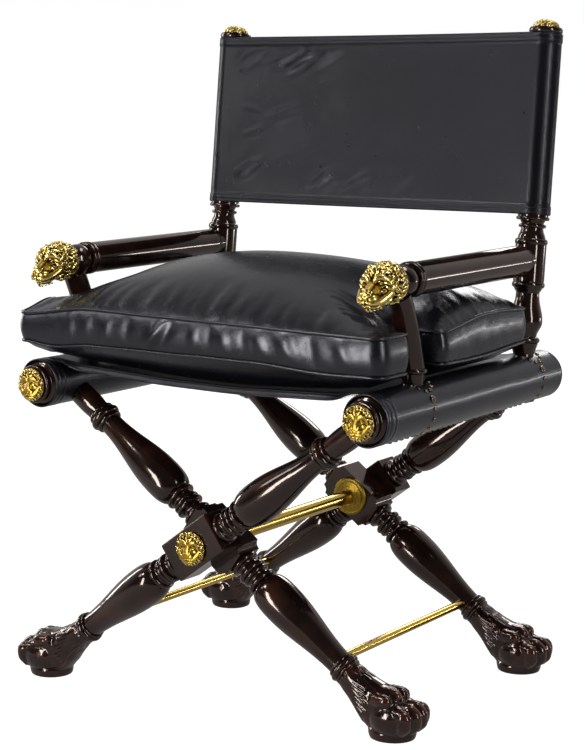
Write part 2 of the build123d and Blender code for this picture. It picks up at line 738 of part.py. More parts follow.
def back_panel():
    """Back sling between the two post loops, flush with their fronts and bowed back in the middle."""
    front = -sleeve_radius
    back = front + back_panel_thickness
    end_x = half_spacing - sqrt((sleeve_radius + seat_gap) ** 2 - back**2)
    middle = Location((0, rear_post_y, rail_axis_height), (-post_lean, 0, 0))
    outline = make_face(sagging_sheet(end_x, front, back_panel_thickness, back_panel_sag))
    return middle * Pos(0, 0, sleeve_bottom) * extrude(outline, sleeve_length)


sling_top = rail_top - seat_panel_drop
sling_underside = sling_top - seat_panel_thickness - rail_axis_height
sling_half_width = half_spacing - sqrt((roll_radius + seat_gap) ** 2 - sling_underside**2)


def seat_panel():
    """Seat sling between the two rolled rails."""
    front_y = rail_front_y + turning_length(rail_nose_turning) + seat_panel_front_setback
    back_y = rail_back_y - seat_panel_rear_setback
    outline = make_face(sagging_sheet(sling_half_width, -sling_top, seat_panel_thickness, seat_panel_sag))
    sheet = Pos(0, front_y, 0) * along_y * extrude(outline, back_y - front_y)
    return sheet - post_holes() - mirror(post_holes(), Plane.YZ)


# ---------------------------------------------------------------- cushion
cushion_front_y = cushion_front_setback - front_depth
cushion_back_y = rear_post_y - post_vase_radius + cushion_rear_clearance
cushion_half_width = half_spacing + cushion_overhang
boxing_bottom = rail_top + boxing_start
boxing_top = boxing_bottom + boxing_height


def under_cushion(lift):
    """Everything below the cushion, which is the sling and both rails, raised by lift."""
    y = cushion_front_y - lift
    dip = sling_top + lift
    roll = rail_top + lift
    edge = cushion_half_width + block_width
    edges = [
        Line((-edge, y, roll), (-sling_half_width, y, roll)),
        Line((-sling_half_width, y, roll), (-sling_half_width, y, dip)),
        ThreePointArc(
            (-sling_half_width, y, dip), (0, y, dip - seat_panel_sag), (sling_half_width, y, dip)
        ),
        Line((sling_half_width, y, dip), (sling_half_width, y, roll)),
        Line((sling_half_width, y, roll), (edge, y, roll)),
        Line((edge, y, roll), (edge, y, pivot_height)),
        Line((edge, y, pivot_height), (-edge, y, pivot_height)),
        Line((-edge, y, pivot_height), (-edge, y, roll)),
    ]
    return extrude(make_face(edges), cushion_back_y - cushion_front_y + 2 * lift, dir=(0, 1, 0))


def rounded_slab(inset, z):
    """Rounded rectangle of the cushion's outline, pulled in by inset, at height z."""
    width = 2 * (cushion_half_width - inset)
    depth = cushion_back_y - cushion_front_y - 2 * inset
    middle_y = (cushion_front_y + cushion_back_y) / 2
    return Plane(origin=(0, middle_y, z)) * RectangleRounded(width, depth, cushion_corner)


def cushion_form(inset):
    """T-shaped box cushion with a crowned top, every face pulled in by inset."""
    belly_bottom = sling_top - seat_panel_sag - belly_spare
    stations = [(belly_inset, belly_bottom), (belly_inset, rail_top + belly_lift + inset)]
    stations += [(0.0, boxing_bottom), (0.0, boxing_top)]
    stations += [(pull, boxing_top + rise - inset) for pull, rise in crown]
    slabs = [rounded_slab(pull + inset, height) for pull, height in stations]
    shape = loft(slabs[:2], ruled=True)
    for low, high in zip(slabs[1:], slabs[2:]):
        shape += loft([low, high], ruled=True)
    notch_depth = cushion_half_width - half_spacing + notch_inside_post + inset
    notch_length = notch_before_post + notch_behind_post + 2 * inset
    notch = Box(2 * notch_depth, notch_length, 2 * boxing_top)
    notch = fillet(notch.edges().filter_by(Axis.Z), cushion_corner)
    notch_y = front_post_y + (notch_behind_post - notch_before_post) / 2
    for side in (-1, 1):
        shape -= Pos(side * cushion_half_width, notch_y, boxing_top) * notch
    shape -= under_cushion(2 * seat_gap + inset)
    return max(shape.solids(), key=lambda solid: solid.volume)


# ---------------------------------------------------------------- the chair
pairs = {"inner": (-1, inner_planes, leg(hollowed=True)), "outer": (1, outer_planes, leg(hollowed=False))}
one_paw = paw()
for pair, (side, planes, blank) in pairs.items():
    for place, plane_y, toward in (("front", planes[0], -1), ("rear", planes[1], 1)):
        leg_place = Location((0, plane_y, pivot_height), (0, side * leg_tilt, 0))
        save(f"leg_{pair}_{place}", leg_place * (blank - stretcher_socket(toward)))
        foot = one_paw if side < 0 else mirror(one_paw, Plane.YZ)
        save(f"paw_{pair}_{place}", Pos(0, plane_y, 0) * foot)
    save(f"stretcher_{pair}", stretcher(side, planes))

cap_seat = block_thickness / 2 + seat_gap
bolt_front_y = outer_planes[0] - cap_seat
bolt_rear_y = outer_planes[1] + cap_seat
front_rosette_y = inner_planes[0] + cap_seat
rear_rosette_y = inner_planes[1] - cap_seat
bolt = y_rod(journal_radius, 0, pivot_height, bolt_front_y, bolt_rear_y)
bolt += y_rod(
    bolt_radius, 0, pivot_height, front_rosette_y + rosette_thickness, rear_rosette_y - rosette_thickness
)
save("cross_bolt", bolt)

boss = [("taper", rosette_thickness - turning_length(rosette_face), rosette_boss_radius)]
rosette = turned(rosette_radius, rosette_face + boss)
rosette -= rod(journal_radius + running_gap, (0, 0, 0), (0, 0, rosette_thickness))
rosettes = [
    Pos(0, front_rosette_y, pivot_height) * along_y * rosette,
    Pos(0, rear_rosette_y, pivot_height) * against_y * rosette,
]
save("bolt_rosettes", Compound(children=rosettes))

front_cap = mask_medallion(bolt_cap_radius, bolt_cap_rim, journal_radius, 0.0)
save("bolt_cap_front", Pos(0, bolt_front_y, pivot_height) * front_cap)
rear_cap = turned(rear_cap_radius, rear_cap_turning)
save("bolt_cap_rear", Pos(0, bolt_rear_y, pivot_height) * along_y * rear_cap)

rail_mask = mask_medallion(medallion_radius, medallion_rim, hinge_pin_radius, spigot_length)
side_pieces = {
    "front_post": front_post(),
    "rear_post": rear_post(),
    "arm": arm(),
    "lion_head": lion_head(front_post_relief()),
    "rail_medallion": Pos(half_spacing, rail_front_y, rail_axis_height) * rail_mask,
    "rail_end_cap": end_cap(),
    "post_cap": post_cap(),
    "finial": finial(),
    "back_sleeve": back_sleeve(),
}
for side_name, planes, mirrored in (("left", inner_planes, True), ("right", outer_planes, False)):
    pieces = dict(side_pieces)
    pieces["rail"] = rail(planes)
    pieces["rail_leather"] = rail_leather(planes)
    pieces["rail_nails"] = rail_nails(planes)
    pieces["hinge_pins"] = hinge_pins(planes)
    for name, shape in pieces.items():
        save(f"{name}_{side_name}", mirror(shape, Plane.YZ) if mirrored else shape)

save("seat_panel", seat_panel())
save("back_panel", back_panel())
save("cushion_cover", cushion_form(0.0) - cushion_form(cover_thickness))
save("cushion_fill", cushion_form(cover_thickness + seat_gap))
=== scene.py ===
import json
from math import copysign, cos, degrees, exp, hypot, pi, radians, sin, sqrt
from random import Random

import bmesh
import bpy
import numpy as np
from mathutils import Euler, Matrix, Vector, noise
from mathutils.bvhtree import BVHTree
from mathutils.geometry import delaunay_2d_cdt
from mathutils.kdtree import KDTree

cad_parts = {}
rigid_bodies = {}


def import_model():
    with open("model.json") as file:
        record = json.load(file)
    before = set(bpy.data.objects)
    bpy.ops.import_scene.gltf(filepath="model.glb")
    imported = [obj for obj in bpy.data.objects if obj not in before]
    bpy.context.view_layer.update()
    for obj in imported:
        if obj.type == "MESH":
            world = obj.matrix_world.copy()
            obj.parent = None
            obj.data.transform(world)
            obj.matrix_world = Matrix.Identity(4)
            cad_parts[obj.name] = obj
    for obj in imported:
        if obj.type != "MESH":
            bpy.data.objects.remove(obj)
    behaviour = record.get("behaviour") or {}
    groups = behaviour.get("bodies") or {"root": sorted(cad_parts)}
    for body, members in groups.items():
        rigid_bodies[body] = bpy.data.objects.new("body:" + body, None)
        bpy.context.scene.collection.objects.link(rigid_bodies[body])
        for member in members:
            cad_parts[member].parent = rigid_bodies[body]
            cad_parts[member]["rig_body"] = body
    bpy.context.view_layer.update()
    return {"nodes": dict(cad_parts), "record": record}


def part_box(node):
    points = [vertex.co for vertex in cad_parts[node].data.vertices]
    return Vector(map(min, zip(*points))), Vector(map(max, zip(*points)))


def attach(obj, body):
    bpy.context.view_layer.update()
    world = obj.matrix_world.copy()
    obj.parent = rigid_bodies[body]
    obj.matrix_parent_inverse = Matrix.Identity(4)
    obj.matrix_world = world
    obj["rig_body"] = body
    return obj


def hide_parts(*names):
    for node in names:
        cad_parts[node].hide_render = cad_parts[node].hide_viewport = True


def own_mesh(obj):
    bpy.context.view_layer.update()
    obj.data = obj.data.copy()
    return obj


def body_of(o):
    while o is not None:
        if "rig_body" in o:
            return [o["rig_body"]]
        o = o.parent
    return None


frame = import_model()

# Folding X-frame armchair, in metres. +X is to the right from the front, +Y to the back, +Z up.
# Carvings, castings and leather are worked out in millimetres and scaled when they are shown.
mm = 0.001
nodes = frame["nodes"]
scene = bpy.context.scene

# ---------------- places read from the frame
sides = {"left": -1, "right": 1}
rail_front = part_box("rail_right")[0].y
leather_low, leather_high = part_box("rail_leather_right")
rail_x = (leather_low.x + leather_high.x) / 2
rail_z = (leather_low.z + leather_high.z) / 2
roll_radius = (leather_high.z - leather_low.z) / 2
head_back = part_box("lion_head_right")[1].y
arm_low, arm_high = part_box("arm_right")
arm_z = (arm_low.z + arm_high.z) / 2
post_lean = radians(7.2)
slot_of = {row["node"]: row["material_slot"] for row in frame["record"]["subparts"]}


# ---------------- shader tools
def linear(hex_colour):
    """An sRGB hex colour as linear RGBA."""
    parts = [int(hex_colour[i : i + 2], 16) / 255 for i in (1, 3, 5)]
    return [c / 12.92 if c <= 0.04045 else ((c + 0.055) / 1.055) ** 2.4 for c in parts] + [1.0]


def add_node(tree, kind, settings=None, inputs=None, stops=()):
    """Adds a shader node. settings are its own properties; an input is a value or another node's socket.

    stops are the (position, hex colour) pairs of a colour ramp."""
    node = tree.nodes.new(kind)
    for name, value in (settings or {}).items():
        setattr(node, name, value)
    for name, value in (inputs or {}).items():
        if isinstance(value, bpy.types.NodeSocket):
            tree.links.new(value, node.inputs[name])
        else:
            node.inputs[name].default_value = value
    if stops:
        elements = node.color_ramp.elements
        while len(elements) < len(stops):
            elements.new(0.5)
        for element, (position, hex_colour) in zip(elements, stops):
            element.position = position
            element.color = linear(hex_colour)
    return node


def new_material(name, **surface):
    """An empty node material with its Principled shader; surface gives the shader's sockets."""
    material = bpy.data.materials.new(name)
    material.use_nodes = True
    tree = material.node_tree
    tree.nodes.clear()
    shader = add_node(tree, "ShaderNodeBsdfPrincipled", inputs=surface)
    out = add_node(tree, "ShaderNodeOutputMaterial")
    tree.links.new(shader.outputs["BSDF"], out.inputs["Surface"])
    return material, tree, shader


def feed(tree, shader, sources):
    """Links each source to the shader's socket of that name."""
    for name, source in sources.items():
        tree.links.new(source, shader.inputs[name])


# ---------------- materials
def ebonised_wood():
    """Turned beech, ebonised and French polished: nearly black, and red-brown where the stain is thin."""
    warm = linear("#ffe8dc")
    surface = {"Coat Weight": 0.5, "Coat Roughness": 0.05, "Coat Tint": warm, "Specular Tint": warm}
    material, tree, shader = new_material("ebonised_wood", **surface)
    place = add_node(tree, "ShaderNodeTexCoord").outputs["Object"]
    clouds = {"Vector": place, "Scale": 21.0, "Detail": 5.0, "Roughness": 0.6}  # about 48 mm across
    cloudy = add_node(tree, "ShaderNodeTexNoise", inputs=clouds).outputs["Fac"]
    pores = {"Vector": place, "Scale": 320.0, "Detail": 3.0}  # about 3 mm, down to 0.4 mm
    fine = add_node(tree, "ShaderNodeTexNoise", inputs=pores).outputs["Fac"]
    relief = add_node(tree, "ShaderNodeAttribute", {"attribute_name": "relief"}).outputs["Fac"]
    high_spots = {"Value": relief, "From Min": 0.3, "From Max": 1.5}
    rubbed = add_node(tree, "ShaderNodeMapRange", inputs=high_spots).outputs["Result"]
    wear = {0: rubbed, 1: 0.5, 2: cloudy}
    thin = add_node(tree, "ShaderNodeMath", {"operation": "MULTIPLY_ADD"}, wear).outputs["Value"]
    stain = ((0.36, "#0d0706"), (0.56, "#1d110d"), (0.78, "#381c13"), (1.0, "#5a2c1a"))
    colour = add_node(tree, "ShaderNodeValToRGB", inputs={"Fac": thin}, stops=stain)
    gloss = {"Value": fine, "To Min": 0.1, "To Max": 0.18}
    rough = add_node(tree, "ShaderNodeMapRange", inputs=gloss)
    texture = {"Height": fine, "Strength": 0.06, "Distance": 0.3 * mm}
    bump = add_node(tree, "ShaderNodeBump", inputs=texture)
    feed(tree, shader, {
        "Base Color": colour.outputs["Color"],
        "Roughness": rough.outputs["Result"],
        "Normal": bump.outputs["Normal"],
    })
    return material


def gilt_bronze():
    """Cast bronze, fire gilt, with painted light: painted shade makes the hollows dark olive brown, and a
    painted highlight makes the high spots pale bright yellow.
    """
    material, tree, shader = new_material("gilt_bronze", Metallic=1.0)
    place = add_node(tree, "ShaderNodeTexCoord").outputs["Object"]
    grain = {"Vector": place, "Scale": 420.0, "Detail": 4.0}  # about 2.4 mm, down to 0.15 mm
    cast = add_node(tree, "ShaderNodeTexNoise", inputs=grain).outputs["Fac"]
    relief = add_node(tree, "ShaderNodeAttribute", {"attribute_name": "relief"}).outputs["Fac"]
    patchy = {0: cast, 1: 0.35, 2: relief}
    uneven = add_node(tree, "ShaderNodeMath", {"operation": "MULTIPLY_ADD"}, patchy).outputs["Value"]
    # Painted shade and painted highlight: through the ramp below, the relief darkens the hollows and
    # lightens the high spots.
    painted_shade_span = {"Value": uneven, "From Min": -0.2, "From Max": 0.75}
    depth = add_node(tree, "ShaderNodeMapRange", inputs=painted_shade_span).outputs["Result"]
    gilding_and_painted_light = ((0.0, "#2c2008"), (0.32, "#7c6020"), (0.55, "#cfa946"), (0.9, "#f5e196"))
    colour = add_node(tree, "ShaderNodeValToRGB", inputs={"Fac": depth}, stops=gilding_and_painted_light)
    burnish = {"Value": depth, "To Min": 0.5, "To Max": 0.2}
    rough = add_node(tree, "ShaderNodeMapRange", inputs=burnish)
    texture = {"Height": cast, "Strength": 0.25, "Distance": 0.4 * mm}
    bump = add_node(tree, "ShaderNodeBump", inputs=texture)
    feed(tree, shader, {
        "Base Color": colour.outputs["Color"],
        "Roughness": rough.outputs["Result"],
        "Normal": bump.outputs["Normal"],
    })
    return material


def polished_brass():
    """Drawn brass rod, polished: warm yellow, with faint lines along its length."""
    material, tree, shader = new_material("polished_brass", Metallic=1.0)
    place = add_node(tree, "ShaderNodeTexCoord").outputs["Object"]
    drawn = {"Vector": place, "Scale": (260.0, 5.0, 260.0)}  # lines about 4 mm apart and 200 mm long
    lengthwise = add_node(tree, "ShaderNodeMapping", inputs=drawn).outputs["Vector"]
    lines = add_node(tree, "ShaderNodeTexNoise", inputs={"Vector": lengthwise, "Scale": 1.0}).outputs["Fac"]
    yellows = ((0.3, "#d0a548"), (0.7, "#e8c870"))
    colour = add_node(tree, "ShaderNodeValToRGB", inputs={"Fac": lines}, stops=yellows)
    polish = {"Value": lines, "To Min": 0.12, "To Max": 0.2}
    rough = add_node(tree, "ShaderNodeMapRange", inputs=polish)
    feed(tree, shader, {"Base Color": colour.outputs["Color"], "Roughness": rough.outputs["Result"]})
    return material


def leather(name, shade, light, roughness, grain_size):
    """Aniline-dyed cowhide: cells of grain with fine creases, under a soft top coat."""
    surface = {"Coat Weight": 0.2, "Coat Roughness": 0.16, "Specular Tint": linear("#f0f0fa")}
    material, tree, shader = new_material(name, **surface)
    place = add_node(tree, "ShaderNodeTexCoord").outputs["Object"]
    grain = {"Vector": place, "Scale": 1.0 / grain_size, "Randomness": 1.0}
    cells = add_node(tree, "ShaderNodeTexVoronoi", {"feature": "DISTANCE_TO_EDGE"}, grain)
    wrinkles = {"Vector": place, "Scale": 55.0, "Detail": 6.0, "Roughness": 0.65, "Distortion": 0.6}
    creases = add_node(tree, "ShaderNodeTexNoise", inputs=wrinkles).outputs["Fac"]  # about 18 mm apart
    dyeing = {"Vector": place, "Scale": 7.0, "Detail": 3.0}  # patches of about 140 mm
    patches = add_node(tree, "ShaderNodeTexNoise", inputs=dyeing).outputs["Fac"]
    dyes = ((0.35, shade), (0.7, light))
    colour = add_node(tree, "ShaderNodeValToRGB", inputs={"Fac": patches}, stops=dyes)
    wear = {"Value": creases, "To Min": roughness - 0.03, "To Max": roughness + 0.07}
    rough = add_node(tree, "ShaderNodeMapRange", inputs=wear)
    rims = {"Value": cells.outputs["Distance"], "From Max": 0.25}
    pebbles = add_node(tree, "ShaderNodeMapRange", inputs=rims).outputs["Result"]
    texture = {"Height": pebbles, "Strength": 0.22, "Distance": 0.25 * mm}
    fine = add_node(tree, "ShaderNodeBump", inputs=texture).outputs["Normal"]
    folds = {"Height": creases, "Strength": 0.2, "Distance": 0.8 * mm, "Normal": fine}
    soft = add_node(tree, "ShaderNodeBump", inputs=folds)
    feed(tree, shader, {
        "Base Color": colour.outputs["Color"],
        "Roughness": rough.outputs["Result"],
        "Normal": soft.outputs["Normal"],
    })
    return material


def mottled(name, scale, dark, light, **surface):
    """A plain material that wanders between two (position, hex colour) stops."""
    material, tree, shader = new_material(name, **surface)
    pattern = {"Vector": add_node(tree, "ShaderNodeTexCoord").outputs["Object"], "Scale": scale}
    patches = add_node(tree, "ShaderNodeTexNoise", inputs=pattern).outputs["Fac"]
    colour = add_node(tree, "ShaderNodeValToRGB", inputs={"Fac": patches}, stops=(dark, light))
    feed(tree, shader, {"Base Color": colour.outputs["Color"]})
    return material


wood = ebonised_wood()
gilt = gilt_bronze()
brass = polished_brass()
# Domed upholstery nail of bronzed steel: brown grey, each with one small glint. Tarnish of about 7 mm.
dark, light = (0.35, "#5a4e40"), (0.7, "#a3947c")
nail_bronze = mottled("bronze_nail", 150.0, dark, light, Metallic=1.0, Roughness=0.15)
sling_leather = leather("sling_leather", "#0e0e14", "#191921", 0.27, 1.3 * mm)
cushion_leather = leather("cushion_leather", "#0a0a0f", "#15151b", 0.24, 1.5 * mm)
# Waxed linen sewing thread: charcoal, and matter than the leather it holds. Flecks of about 1 mm.
thread = mottled("waxed_thread", 900.0, (0.3, "#26262a"), (0.7, "#4a4a50"), Roughness=0.6)
# Drawn steel rod of the hidden hinge pins: bright grey. Streaks of about 3 mm.
pin_steel = mottled("drawn_steel", 300.0, (0.3, "#8d8f92"), (0.7, "#b3b5b8"), Metallic=1.0, Roughness=0.3)

slot_materials = {
    "ebonised_wood": wood,
    "gilt_bronze": gilt,
    "polished_brass": brass,
    "bronze_nail": nail_bronze,
    "black_leather": sling_leather,
    "cushion_leather": cushion_leather,
    "cushion_filling": cushion_leather,
    "steel_pin": pin_steel,
}
for node_name, slot in slot_of.items():
    mesh = nodes[node_name].data
    mesh.materials.clear()
    mesh.materials.append(slot_materials[slot])


# ---------------- mesh tools
def new_object(name, data):
    """An object of data, in the scene."""
    thing = bpy.data.objects.new(name, data)
    scene.collection.objects.link(thing)
    return thing


def to_data(mesh, name):
    """The finished working mesh under a name."""
    data = bpy.data.meshes.new(name)
    mesh.to_mesh(data)
    mesh.free()
    return data


def worked_in(draft):
    """A new mesh of the draft object, with its modifiers worked in."""
    return bpy.data.meshes.new_from_object(draft.evaluated_get(bpy.context.evaluated_depsgraph_get()))


def skinned(mesh, rings):
    """Faces between each ring of vertices and the next."""
    for low, high in zip(rings, rings[1:]):
        for corner in range(len(low)):
            after = (corner + 1) % len(low)
            mesh.faces.new((low[corner], low[after], high[after], high[corner]))


def closed_bar(mesh, rings):
    """Faces between the rings of vertices and over both ends."""
    skinned(mesh, rings)
    mesh.faces.new(list(reversed(rings[0])))
    mesh.faces.new(rings[-1])


def loft(mesh, rings):
    """A closed skin through rings of points."""
    closed_bar(mesh, [[mesh.verts.new(point) for point in ring] for ring in rings])


def round_ring(mesh, middle, side, other, radius, sides):
    """A ring of vertices round middle, across the two directions."""
    angles = [2 * pi * corner / sides for corner in range(sides)]
    return [mesh.verts.new(middle + radius * (cos(angle) * side + sin(angle) * other)) for angle in angles]


def even_ways(count):
    """Directions spread evenly over a sphere."""
    step = pi * (3.0 - sqrt(5.0))
    for index in range(count):
        rise = 1.0 - 2.0 * (index + 0.5) / count
        flat = sqrt(1.0 - rise * rise)
        yield Vector((flat * cos(step * index), flat * sin(step * index), rise))


# ---------------- carving and casting tools
round_end = ((0.95, 0.3), (0.6, 0.8))  # (how far past the end, share of the radius)


def rounded_line(points, radii, parts):
    """The points and radii with a smooth line drawn through them, in parts steps between each two."""
    line, sizes = [], []
    for index in range(len(points) - 1):
        before, here = points[max(index - 1, 0)], points[index]
        after, beyond = points[index + 1], points[min(index + 2, len(points) - 1)]
        for part in range(parts):
            t = part / parts
            way_in, way_out = (after - before) / 2, (beyond - here) / 2
            line.append(
                (2 * t**3 - 3 * t**2 + 1) * here
                + (t**3 - 2 * t**2 + t) * way_in
                + (3 * t**2 - 2 * t**3) * after
                + (t**3 - t**2) * way_out
            )
            sizes.append(radii[index] + (radii[index + 1] - radii[index]) * t * t * (3 - 2 * t))
    return line + [points[-1]], sizes + [radii[-1]]


def worm(mesh, points, radii, sides=8, parts=1):
    """A closed round bar through the points, rounded at both ends."""
    points, radii = rounded_line([Vector(p) for p in points], radii, parts)
    first = (points[0] - points[1]).normalized()
    last = (points[-1] - points[-2]).normalized()
    stations = [(points[0] + first * radii[0] * reach, radii[0] * share) for reach, share in round_end]
    stations += list(zip(points, radii))
    for reach, share in reversed(round_end):
        stations.append((points[-1] + last * radii[-1] * reach, radii[-1] * share))
    side = first.orthogonal()
    rings = []
    for index, (middle, radius) in enumerate(stations):
        before = stations[max(index - 1, 0)][0]
        after = stations[min(index + 1, len(stations) - 1)][0]
        way = (after - before).normalized()
        side = (side - way * side.dot(way)).normalized()
        rings.append(round_ring(mesh, middle, side, way.cross(side), radius, sides))
    closed_bar(mesh, rings)


def blob(mesh, centre, radii, turn=(0.0, 0.0, 0.0)):
    """An egg shape."""
    place = Matrix.LocRotScale(Vector(centre), Euler(turn), Vector(radii))
    bmesh.ops.create_icosphere(mesh, subdivisions=3, radius=1.0, matrix=place)


def curl(mesh, place, out, size, turn, hand):
    """A curl of hair: one turn of a spiral on the surface, that rises to its middle."""
    side = out.orthogonal().normalized()
    other = out.cross(side)
    points, radii = [], []
    for index in range(9):
        share = index / 8
        angle = turn + hand * 2 * pi * share
        reach = size * (1.0 - 0.78 * share)
        spoke = cos(angle) * side + sin(angle) * other
        points.append(place + reach * spoke + out * size * (0.1 + 0.5 * share))
        radii.append(size * (0.34 - 0.06 * share))
    worm(mesh, points, radii, 6)


def lock(mesh, place, out, flow, length, thick, sway):
    """A lock of mane: a wavy bar that flows over a rounded surface from place."""
    across = out.cross(flow)
    points, radii = [], []
    for index, size in enumerate((0.6, 1.0, 1.1, 1.0, 0.8, 0.4)):
        share = index / 5
        along = flow * (length * share) + across * (sway * sin(1.7 * pi * share))
        lift = thick * (1.7 * sin(pi * min(1.0, 0.12 + 0.8 * share)) - 0.4) - (length * share) ** 2 / 52.0
        points.append(place + along + out * lift)
        radii.append(thick * size)
    worm(mesh, points, radii, 7, 2)


def note_relief(skin, rounds):
    """Stores how far each vertex stands over the smoothed form, in millimetres."""
    count = len(skin.vertices)
    places, ways = np.empty(3 * count), np.empty(3 * count)
    skin.vertices.foreach_get("co", places)
    skin.vertices.foreach_get("normal", ways)
    pairs = np.empty(2 * len(skin.edges), dtype=np.int64)
    skin.edges.foreach_get("vertices", pairs)
    places, ways, pairs = places.reshape(-1, 3), ways.reshape(-1, 3), pairs.reshape(-1, 2)
    start = np.concatenate((pairs[:, 0], pairs[:, 1]))
    end = np.concatenate((pairs[:, 1], pairs[:, 0]))
    near = np.maximum(np.bincount(start, minlength=count), 1)
    smooth = places.copy()
    for _ in range(rounds):
        for axis in range(3):
            smooth[:, axis] = np.bincount(start, smooth[end, axis], count) / near
    relief = ((places - smooth) * ways).sum(axis=1)
    skin.attributes.new("relief", "FLOAT", "POINT").data.foreach_set("value", relief.astype(np.float32))


def fused(name, mesh, voxel, smoothing, rounds=18):
    """One skin round all the closed bars and eggs of mesh, softened; in metres from here on."""
    loose = to_data(mesh, name)
    draft = new_object(name, loose)
    remesh = draft.modifiers.new("skin", "REMESH")
    remesh.mode = "VOXEL"
    remesh.voxel_size = voxel
    remesh.adaptivity = 0.0
    soften = draft.modifiers.new("soften", "SMOOTH")
    soften.factor = 0.5
    soften.iterations = smoothing
    skin = worked_in(draft)
    bpy.data.objects.remove(draft)
    bpy.data.meshes.remove(loose)
    skin.name = name
    note_relief(skin, rounds)
    skin.transform(Matrix.Scale(mm, 4))
    return skin


def placed(skin, name, matrix):
    """A copy of skin at a place; a mirrored copy keeps its faces outwards."""
    copy = skin.copy()
    copy.name = name
    copy.transform(matrix)
    if matrix.to_3x3().determinant() < 0:
        copy.flip_normals()
    return copy


def add_piece(name, data, material, like, replaced=()):
    """Shows a finished mesh on the body of the CAD node it is like, and hides the nodes it replaces."""
    data.materials.clear()
    data.materials.append(material)
    data.shade_smooth()
    piece = new_object(name, data)
    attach(piece, body_of(nodes[like])[0])
    if replaced:
        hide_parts(*replaced)
    return piece


# ---------------- lion heads and masks
def lion_face(mesh):
    """Face of a lion that looks along -Y and a little down, about the middle of its mane."""
    blob(mesh, (0, -2, -1), (22, 18, 23))
    blob(mesh, (0, -15, 8), (13, 10, 9))
    worm(mesh, [(0, -16, -7), (0, -28, -12), (0, -38, -16.5)], [14.5, 12.5, 9.6], 16)
    worm(mesh, [(0, -20, 9), (0, -31, -1), (0, -41, -10)], [6.2, 5.0, 5.4], 12, 3)
    blob(mesh, (0, -44, -13.5), (7.2, 3.6, 4.6), (0.5, 0, 0))
    blob(mesh, (0, -33, -27), (8.5, 7.0, 5.5))
    for side in (-1, 1):
        blob(mesh, (6.4 * side, -35.5, -18.5), (8.4, 10.5, 6.8))
        blob(mesh, (13.0 * side, -20, -9.0), (7.6, 8.4, 5.2))
        worm(mesh, [(2.5 * side, -44.5, -23), (10 * side, -40.5, -23.5), (17 * side, -31, -19.5),
                    (23 * side, -20, -10)], [2.2, 3.8, 4.8, 4.0], 10, 3)
        worm(mesh, [(4 * side, -39, -29), (10 * side, -33.5, -28.5), (17 * side, -24, -22.5)],
             [1.6, 2.0, 1.8], 8, 3)
        worm(mesh, [(2.6 * side, -30, 1.0), (6.5 * side, -31, 7.5), (13 * side, -27.5, 9.5),
                    (19 * side, -21, 5.0), (22 * side, -16, -2)], [2.6, 3.8, 4.0, 3.2, 2.0], 10, 3)
        blob(mesh, (9.8 * side, -22.8, 0.8), (3.5, 3.6, 2.8))
        worm(mesh, [(5.2 * side, -26.5, 0.8), (9.8 * side, -27.6, 3.9), (15.0 * side, -22.5, 0.8)],
             [0.9, 1.2, 0.9], 6, 3)
        worm(mesh, [(5.2 * side, -27.0, -1.4), (10.2 * side, -27.0, -3.4), (15.0 * side, -22.5, -0.8)],
             [0.9, 1.2, 0.9], 6, 3)
        worm(mesh, [(2.8 * side, -46.5, -16.0), (6.6 * side, -44.5, -13), (7.0 * side, -40.5, -9.5)],
             [1.1, 1.7, 1.2], 8, 3)
        worm(mesh, [(1.9 * side, -28.5, 6), (3.8 * side, -26, 13), (7 * side, -21, 17)],
             [1.7, 2.3, 1.8], 8, 3)
        blob(mesh, (19.5 * side, -5, 19), (4.6, 3.6, 5.2), (0, 0.35 * side, 0))
        for row in range(4):
            worm(mesh, [((1.8 + 3.4 * row) * side, -37 + 2.6 * row, -30.5 + 0.4 * row),
                        ((3.2 + 3.6 * row) * side, -36 + 2.6 * row, -34.0 + 1.4 * row),
                        ((2.0 + 3.8 * row) * side, -33 + 2.6 * row, -36.0 + 1.8 * row)],
                 [1.5, 1.7, 0.8], 6, 2)


def lion_head_skin():
    """The whole head of a lion: two layers of mane all round, and long locks swept back from its face."""
    mesh = bmesh.new()
    lion_face(mesh)
    bmesh.ops.rotate(mesh, cent=(0, 0, 0), matrix=Matrix.Rotation(radians(-4), 3, "X"), verts=mesh.verts)
    blob(mesh, (0, 4, 0), (24.0, 20, 24.0))
    face_way = Vector((0, -0.93, -0.36)).normalized()
    dice = Random(4)
    for count, length, thick, rise in ((150, 12.0, 1.75, 0.0), (95, 15.0, 1.9, 1.3)):
        for way in even_ways(count):
            if degrees(way.angle(face_way)) < 50 or degrees(way.angle(Vector((0, 1, 0)))) < 30:
                continue
            place = Vector((24.2 * way.x, 3 + 20.5 * way.y, 24.2 * way.z)) + way * rise
            away = (way * way.dot(face_way) - face_way).normalized()
            flow = Matrix.Rotation(radians(dice.uniform(-55, 55)), 3, way) @ away
            lock(mesh, place, way, flow, length * dice.uniform(0.75, 1.15), thick, dice.choice((-2.4, 2.4)))
    for index in range(20):
        angle = 2 * pi * index / 20
        if sin(angle) < -0.6:
            continue
        near, far = 37 + 5 * dice.random(), 62 + 6 * dice.random()
        twist = 0.2 * dice.choice((-1, 1))
        points = []
        for step in range(5):
            share = step / 4
            spread = radians(near + (far - near) * share)
            around = angle + twist * sin(pi * share)
            way = Vector((sin(spread) * cos(around), -cos(spread), sin(spread) * sin(around) - 0.2))
            lift = 27.0 + 3.4 * sin(pi * min(1.0, share + 0.15))
            points.append(way.normalized() * lift + Vector((0, -1, 0)))
        worm(mesh, points, [1.3, 2.3, 2.9, 2.6, 1.8], 7, 2)
    return fused("lion_head", mesh, 0.66, 2)


